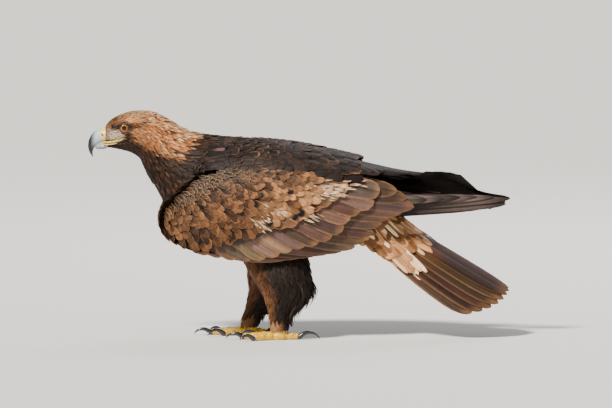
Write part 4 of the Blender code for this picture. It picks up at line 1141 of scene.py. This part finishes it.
# Cere and bill, from the face to the tip: top point and bottom point (x, z), and half width
CERE_ROWS = [(-338.0, 369.4, -337.5, 343.6, 13.0), (-341.4, 368.8, -340.4, 343.4, 12.4),
             (-344.5, 368.4, -343.2, 343.1, 12.0), (-348.5, 367.0, -347.0, 342.8, 11.0)]
BILL_ROWS = [(-347.0, 366.9, -346.4, 341.8, 10.7), (-348.9, 366.6, -347.4, 341.6, 10.6),
             (-355.5, 364.0, -351.8, 339.6, 9.4), (-362.0, 359.0, -356.2, 336.8, 8.0),
             (-367.0, 351.5, -359.4, 333.6, 6.4), (-370.0, 343.0, -361.4, 330.0, 5.0),
             (-370.6, 333.5, -362.4, 326.2, 3.4), (-367.6, 324.0, -362.4, 321.0, 2.0),
             (-362.9, 317.0, -361.4, 317.6, 0.7)]
LOWER_BILL_ROWS = [(-336.5, 341.4, -336.0, 334.6, 9.6), (-340.5, 341.0, -340.0, 331.0, 9.8),
                   (-348.6, 339.6, -348.0, 330.2, 7.8), (-355.4, 335.6, -355.2, 330.6, 5.2),
                   (-358.2, 334.6, -358.0, 331.8, 2.6)]
GAPE_LINE = [(-343.5, 11.6, 342.8), (-340.6, 12.4, 342.8), (-330, 18.9, 343.8), (-319, 24.1, 345.7),
             (-308, 27.9, 349.2)]
NOSTRIL_LINE = [(-347.6, 10.4, 358.8), (-345.0, 11.3, 355.8), (-342.6, 11.6, 352.6)]
# Lids: name, where the arc starts and ends, thickness of the lid and half height of its arc
LIDS = (("upper", -0.15, math.pi + 0.25, 2.3, 6.6), ("lower", math.pi - 0.1, math.tau + 0.1, 1.2, 7.6))
LID_HALF_LENGTH = 8.6
LID_OUT = 27.6


def bill_piece(name, rows, material, slot, replaced):
    """Loft a smooth piece of the bill through rows of top point, bottom point and half width."""
    rows = smooth_curve(range(len(rows)), rows)(np.linspace(0, len(rows) - 1, 8 * len(rows)))
    turn = turns(32)
    rings = []
    for top_x, top_z, bottom_x, bottom_z, half in rows:
        share = (1 + np.cos(turn)) / 2
        width = half * np.sin(turn) * (1 - 0.2 * np.cos(turn))
        rings.append(join(bottom_x + (top_x - bottom_x) * share, width,
                          bottom_z + (top_z - bottom_z) * share))
    piece(name, tube_parts(rings), material, slot, replaced)


def bent_tube(points, radii, sides=16, flat=1.0, count=30):
    """Return vertices and faces of a smooth tube along points, with its radii, flattened across."""
    line = path_curve(points)(np.linspace(0, 1, count))
    radii = np.interp(np.linspace(0, 1, count), np.linspace(0, 1, len(radii)), radii)[:, None, None]
    ahead = unit(np.gradient(line, axis=0))
    up = np.tile((0.0, 0.0, 1.0), (count, 1))
    up[np.abs(ahead[:, 2]) > 0.95] = (1.0, 0.0, 0.0)
    aside = unit(np.cross(ahead, up))
    up = np.cross(aside, ahead)
    turn = turns(sides)[None, :, None]
    return tube_parts(line[:, None] + radii * (np.cos(turn) * aside[:, None]
                                               + flat * np.sin(turn) * up[:, None]))


def ball_parts(centre, radii, segments=40, rings=24):
    """Return vertices and faces of an ellipsoid."""
    turn = turns(segments)
    return tube_parts([np.array(centre) + join(radii[0] * math.sin(pitch) * np.cos(turn),
                                               radii[1] * math.sin(pitch) * np.sin(turn),
                                               radii[2] * math.cos(pitch))
                       for pitch in np.linspace(0.02, math.pi - 0.02, rings)])


def piece(name, parts, material, slot, *replaced):
    """Make an object of vertices and faces, in the place of the nodes that it replaces."""
    obj = new_mesh(name, *parts, material)
    if replaced:
        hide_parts(*replaced)
    return obj


def make_face():
    """Bill, cere, gape, nostrils, eyes and lids."""
    bill_piece("bill_upper_smooth", BILL_ROWS, horn_mat, "horn", "bill_upper")
    bill_piece("bill_lower_smooth", LOWER_BILL_ROWS, horn_mat, "horn", "bill_lower")
    bill_piece("cere_smooth", CERE_ROWS, cere_mat, "bare_skin", "cere")
    for label, side in (("left", -1), ("right", 1)):
        mirror = np.array((1, side, 1))
        line = np.array(GAPE_LINE) * mirror - np.array((0, side * 0.9, 0))
        piece("gape_" + label, bent_tube(line, (1.2, 1.8, 1.8, 1.3, 0.4), flat=0.9), cere_mat, "bare_skin")
        parting = line + np.array((0, side * 0.5, -2.2))
        piece("mouth_line_" + label, bent_tube(parting, (0.5, 0.8, 0.9, 0.8, 0.4)), lid_mat, "bare_skin")
        lower = line[:4] + np.array((0, side * 0.1, -3.9))
        piece("gape_lower_" + label, bent_tube(lower, (1.1, 1.2, 1.0, 0.4)), cere_mat, "bare_skin")
        slit = np.array(NOSTRIL_LINE) * mirror
        piece("nostril_" + label, bent_tube(slit, (0.4, 1.25, 1.4, 0.4)), lid_mat, "bare_skin")
        ball = ball_parts(np.array(EYE_CENTRE) * mirror, (EYE_RADIUS,) * 3, 64, 40)
        piece("eyeball_" + label, ball, iris_mat, "eye", "eye_" + label)
        for which, low, high, thick, tall in LIDS:
            arc = np.linspace(low, high, 18)
            ring = join(EYE_CENTRE[0] + LID_HALF_LENGTH * np.cos(arc),
                        side * (LID_OUT - 0.8 * np.abs(np.cos(arc))), EYE_CENTRE[2] + tall * np.sin(arc))
            piece("lid_" + which + "_" + label, bent_tube(ring, (0.5, thick, thick, thick, 0.5)), lid_mat,
                  "plumage")


# Toes: heading in degrees from straight ahead, outwards positive, length, and length of the claw
TOES = {"inner": (32, 46, 38), "middle": (3, 62, 33), "outer": (-30, 50, 29), "hind": (176, 36, 42)}
TOE_RADIUS = 7.9
TOE_PADS = 3
TOE_RISE = 6.4
CLAW_LIFT = math.radians(48)
CLAW_DROP = math.radians(62)
SCUTE = 3.6
FLOOR_GAP = 0.3
UP = np.array((0, 0, 1.0))


def grounded(parts):
    """Flatten what would reach below the floor."""
    vertices, faces = parts
    vertices[:, 2] = np.maximum(vertices[:, 2], FLOOR_GAP)
    return vertices, faces


def make_foot(name, side):
    """Four scaly toes fused to the ball of the foot, with a hooked claw on each."""
    start = np.array((*ANKLES[name], 0))
    shin = -35.5 + float(leg_slip(side, 20.0))
    parts = [grounded(ball_parts(start + 5.4 * UP, (15, 13, 9.6))),
             grounded(bent_tube([start + (1, 0, 4), (shin, start[1], 20)], (11.0, 10.2, 10.0), flat=1.2))]
    t = np.linspace(0, 1, 110)
    turn = turns(32)
    swelling = np.cos(t * math.tau * TOE_PADS)
    radii = TOE_RADIUS * (1 - 0.24 * t) * (1 + 0.10 * swelling)
    radii = radii * np.sqrt(1 - 0.75 * np.clip((t - 0.9) / 0.1, 0, 1) ** 2)
    pads = -1.2 * swelling[:, None] * np.clip(-np.sin(turn), 0, 1)[None, :]
    for toe, (angle, length, claw_length) in TOES.items():
        heading = math.radians(angle) * side
        ahead = np.array((-math.cos(heading), -math.sin(heading), 0))
        aside = np.cross(ahead, UP)
        saw = np.mod(t * length / SCUTE, 1)
        ridge = 1.3 * (saw ** 0.6)[:, None] * np.clip(np.sin(turn), 0, 1)[None, :] ** 0.4
        reach = radii[:, None] - 0.9 + ridge + pads * 0.5
        line = start + ahead * (length * t)[:, None] + UP * (TOE_RISE - 1.2 * t)[:, None]
        rings = (line[:, None] + (reach * np.cos(turn) * 0.94)[..., None] * aside
                 + (reach * np.sin(turn))[..., None] * UP)
        parts.append(grounded(tube_parts(rings)))
        # The claw bends evenly from its lift to its drop
        end = start + ahead * length + 5.0 * UP
        share = np.linspace(0, 1, 16)
        bow = claw_length / (CLAW_LIFT + CLAW_DROP)
        bend = CLAW_LIFT - (CLAW_LIFT + CLAW_DROP) * share
        claw = (end + ahead * (1.8 + bow * (math.sin(CLAW_LIFT) - np.sin(bend)))[:, None]
                + UP * (bow * (np.cos(bend) - math.cos(CLAW_LIFT)))[:, None])
        claw = np.concatenate([[end - ahead * 4, end - ahead * 1], claw])
        sizes = [4.2, 4.7, *(4.5 * (1 - share) ** 0.7 + 0.15)]
        piece("claw_smooth_" + name + "_" + toe, bent_tube(claw, sizes, 20, 0.95, 48), claw_mat, "horn",
              "claw_" + name + "_" + toe)
    foot = fused("foot_smooth_" + name, parts, toe_mat, 0.8, 1)
    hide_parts("foot_" + name)


# Studio: where the camera looks, from how far and how high, and the width of the view there, in metres
VIEW_CENTRE = (10.5, 0.0, 234.0)
VIEW_DISTANCE = 10.0
VIEW_RISE = math.radians(4)
VIEW_WIDTH = 1.071
SENSOR = 36.0
KEY_FROM = (-1.7, -2.4, 3.0)
KEY_ANGLE = math.radians(9)
FLOOR_REACH = 30.0


def aimed(obj, direction):
    """Turn an object so that it looks in a direction."""
    obj.rotation_euler = mathutils.Vector(direction).to_track_quat("-Z", "Y").to_euler()


def light(name, kind, colour, power):
    """Add a light, and return it."""
    data = bpy.data.lights.new(name, kind)
    data.color = colour
    data.energy = power
    return new_object(name, data)


def area_light(name, place, size, power, colour):
    lamp = light(name, "AREA", colour, power)
    lamp.data.size = size
    lamp.location = place
    aimed(lamp, np.array(VIEW_CENTRE) * MM + SHIFT - np.array(place))


def make_studio():
    """Camera, three lights, pale floor and pale surroundings."""
    centre = np.array(VIEW_CENTRE) * MM + SHIFT
    place = centre + VIEW_DISTANCE * np.array((0, -math.cos(VIEW_RISE), math.sin(VIEW_RISE)))
    data = bpy.data.cameras.new("camera")
    data.sensor_width = SENSOR
    data.lens = SENSOR * VIEW_DISTANCE / VIEW_WIDTH
    data.clip_end = 100
    camera = new_object("camera", data)
    camera.location = place
    aimed(camera, centre - place)
    bpy.context.scene.camera = camera
    area_light("fill", (2.6, -2.2, 1.2), size=2.5, power=14, colour=(0.9, 0.95, 1.0))
    area_light("back", (1.0, 2.4, 2.6), size=2.0, power=50, colour=(1.0, 1.0, 1.0))
    key = light("key", "SUN", (1.0, 0.95, 0.88), 7.5)
    key.data.angle = KEY_ANGLE
    key.rotation_euler = mathutils.Vector(KEY_FROM).to_track_quat("Z", "Y").to_euler()
    mesh = bpy.data.meshes.new("floor")
    corners = ((-1, -1), (1, -1), (1, 1), (-1, 1))
    mesh.from_pydata([(x * FLOOR_REACH, y * FLOOR_REACH, 0) for x, y in corners], [], [(0, 1, 2, 3)])
    mesh.materials.append(Look("floor", (0.72, 0.71, 0.69), 0.9, Specular_IOR_Level=0.2).material)
    new_object("floor", mesh)
    world = bpy.data.worlds.new("studio")
    world.use_nodes = True
    sky = world.node_tree.nodes["Background"]
    sky.inputs["Color"].default_value = (0.80, 0.82, 0.84, 1)
    sky.inputs["Strength"].default_value = 0.35
    bpy.context.scene.world = world


make_studio()
make_skin()
make_head_coat()
make_hackles()
make_underparts()
make_mantle()
for side_name, side_sign in (("left", -1), ("right", 1)):
    make_wing(side_name, side_sign)
    make_leg(side_name, side_sign)
    make_foot(side_name, side_sign)
make_tail()
make_face()
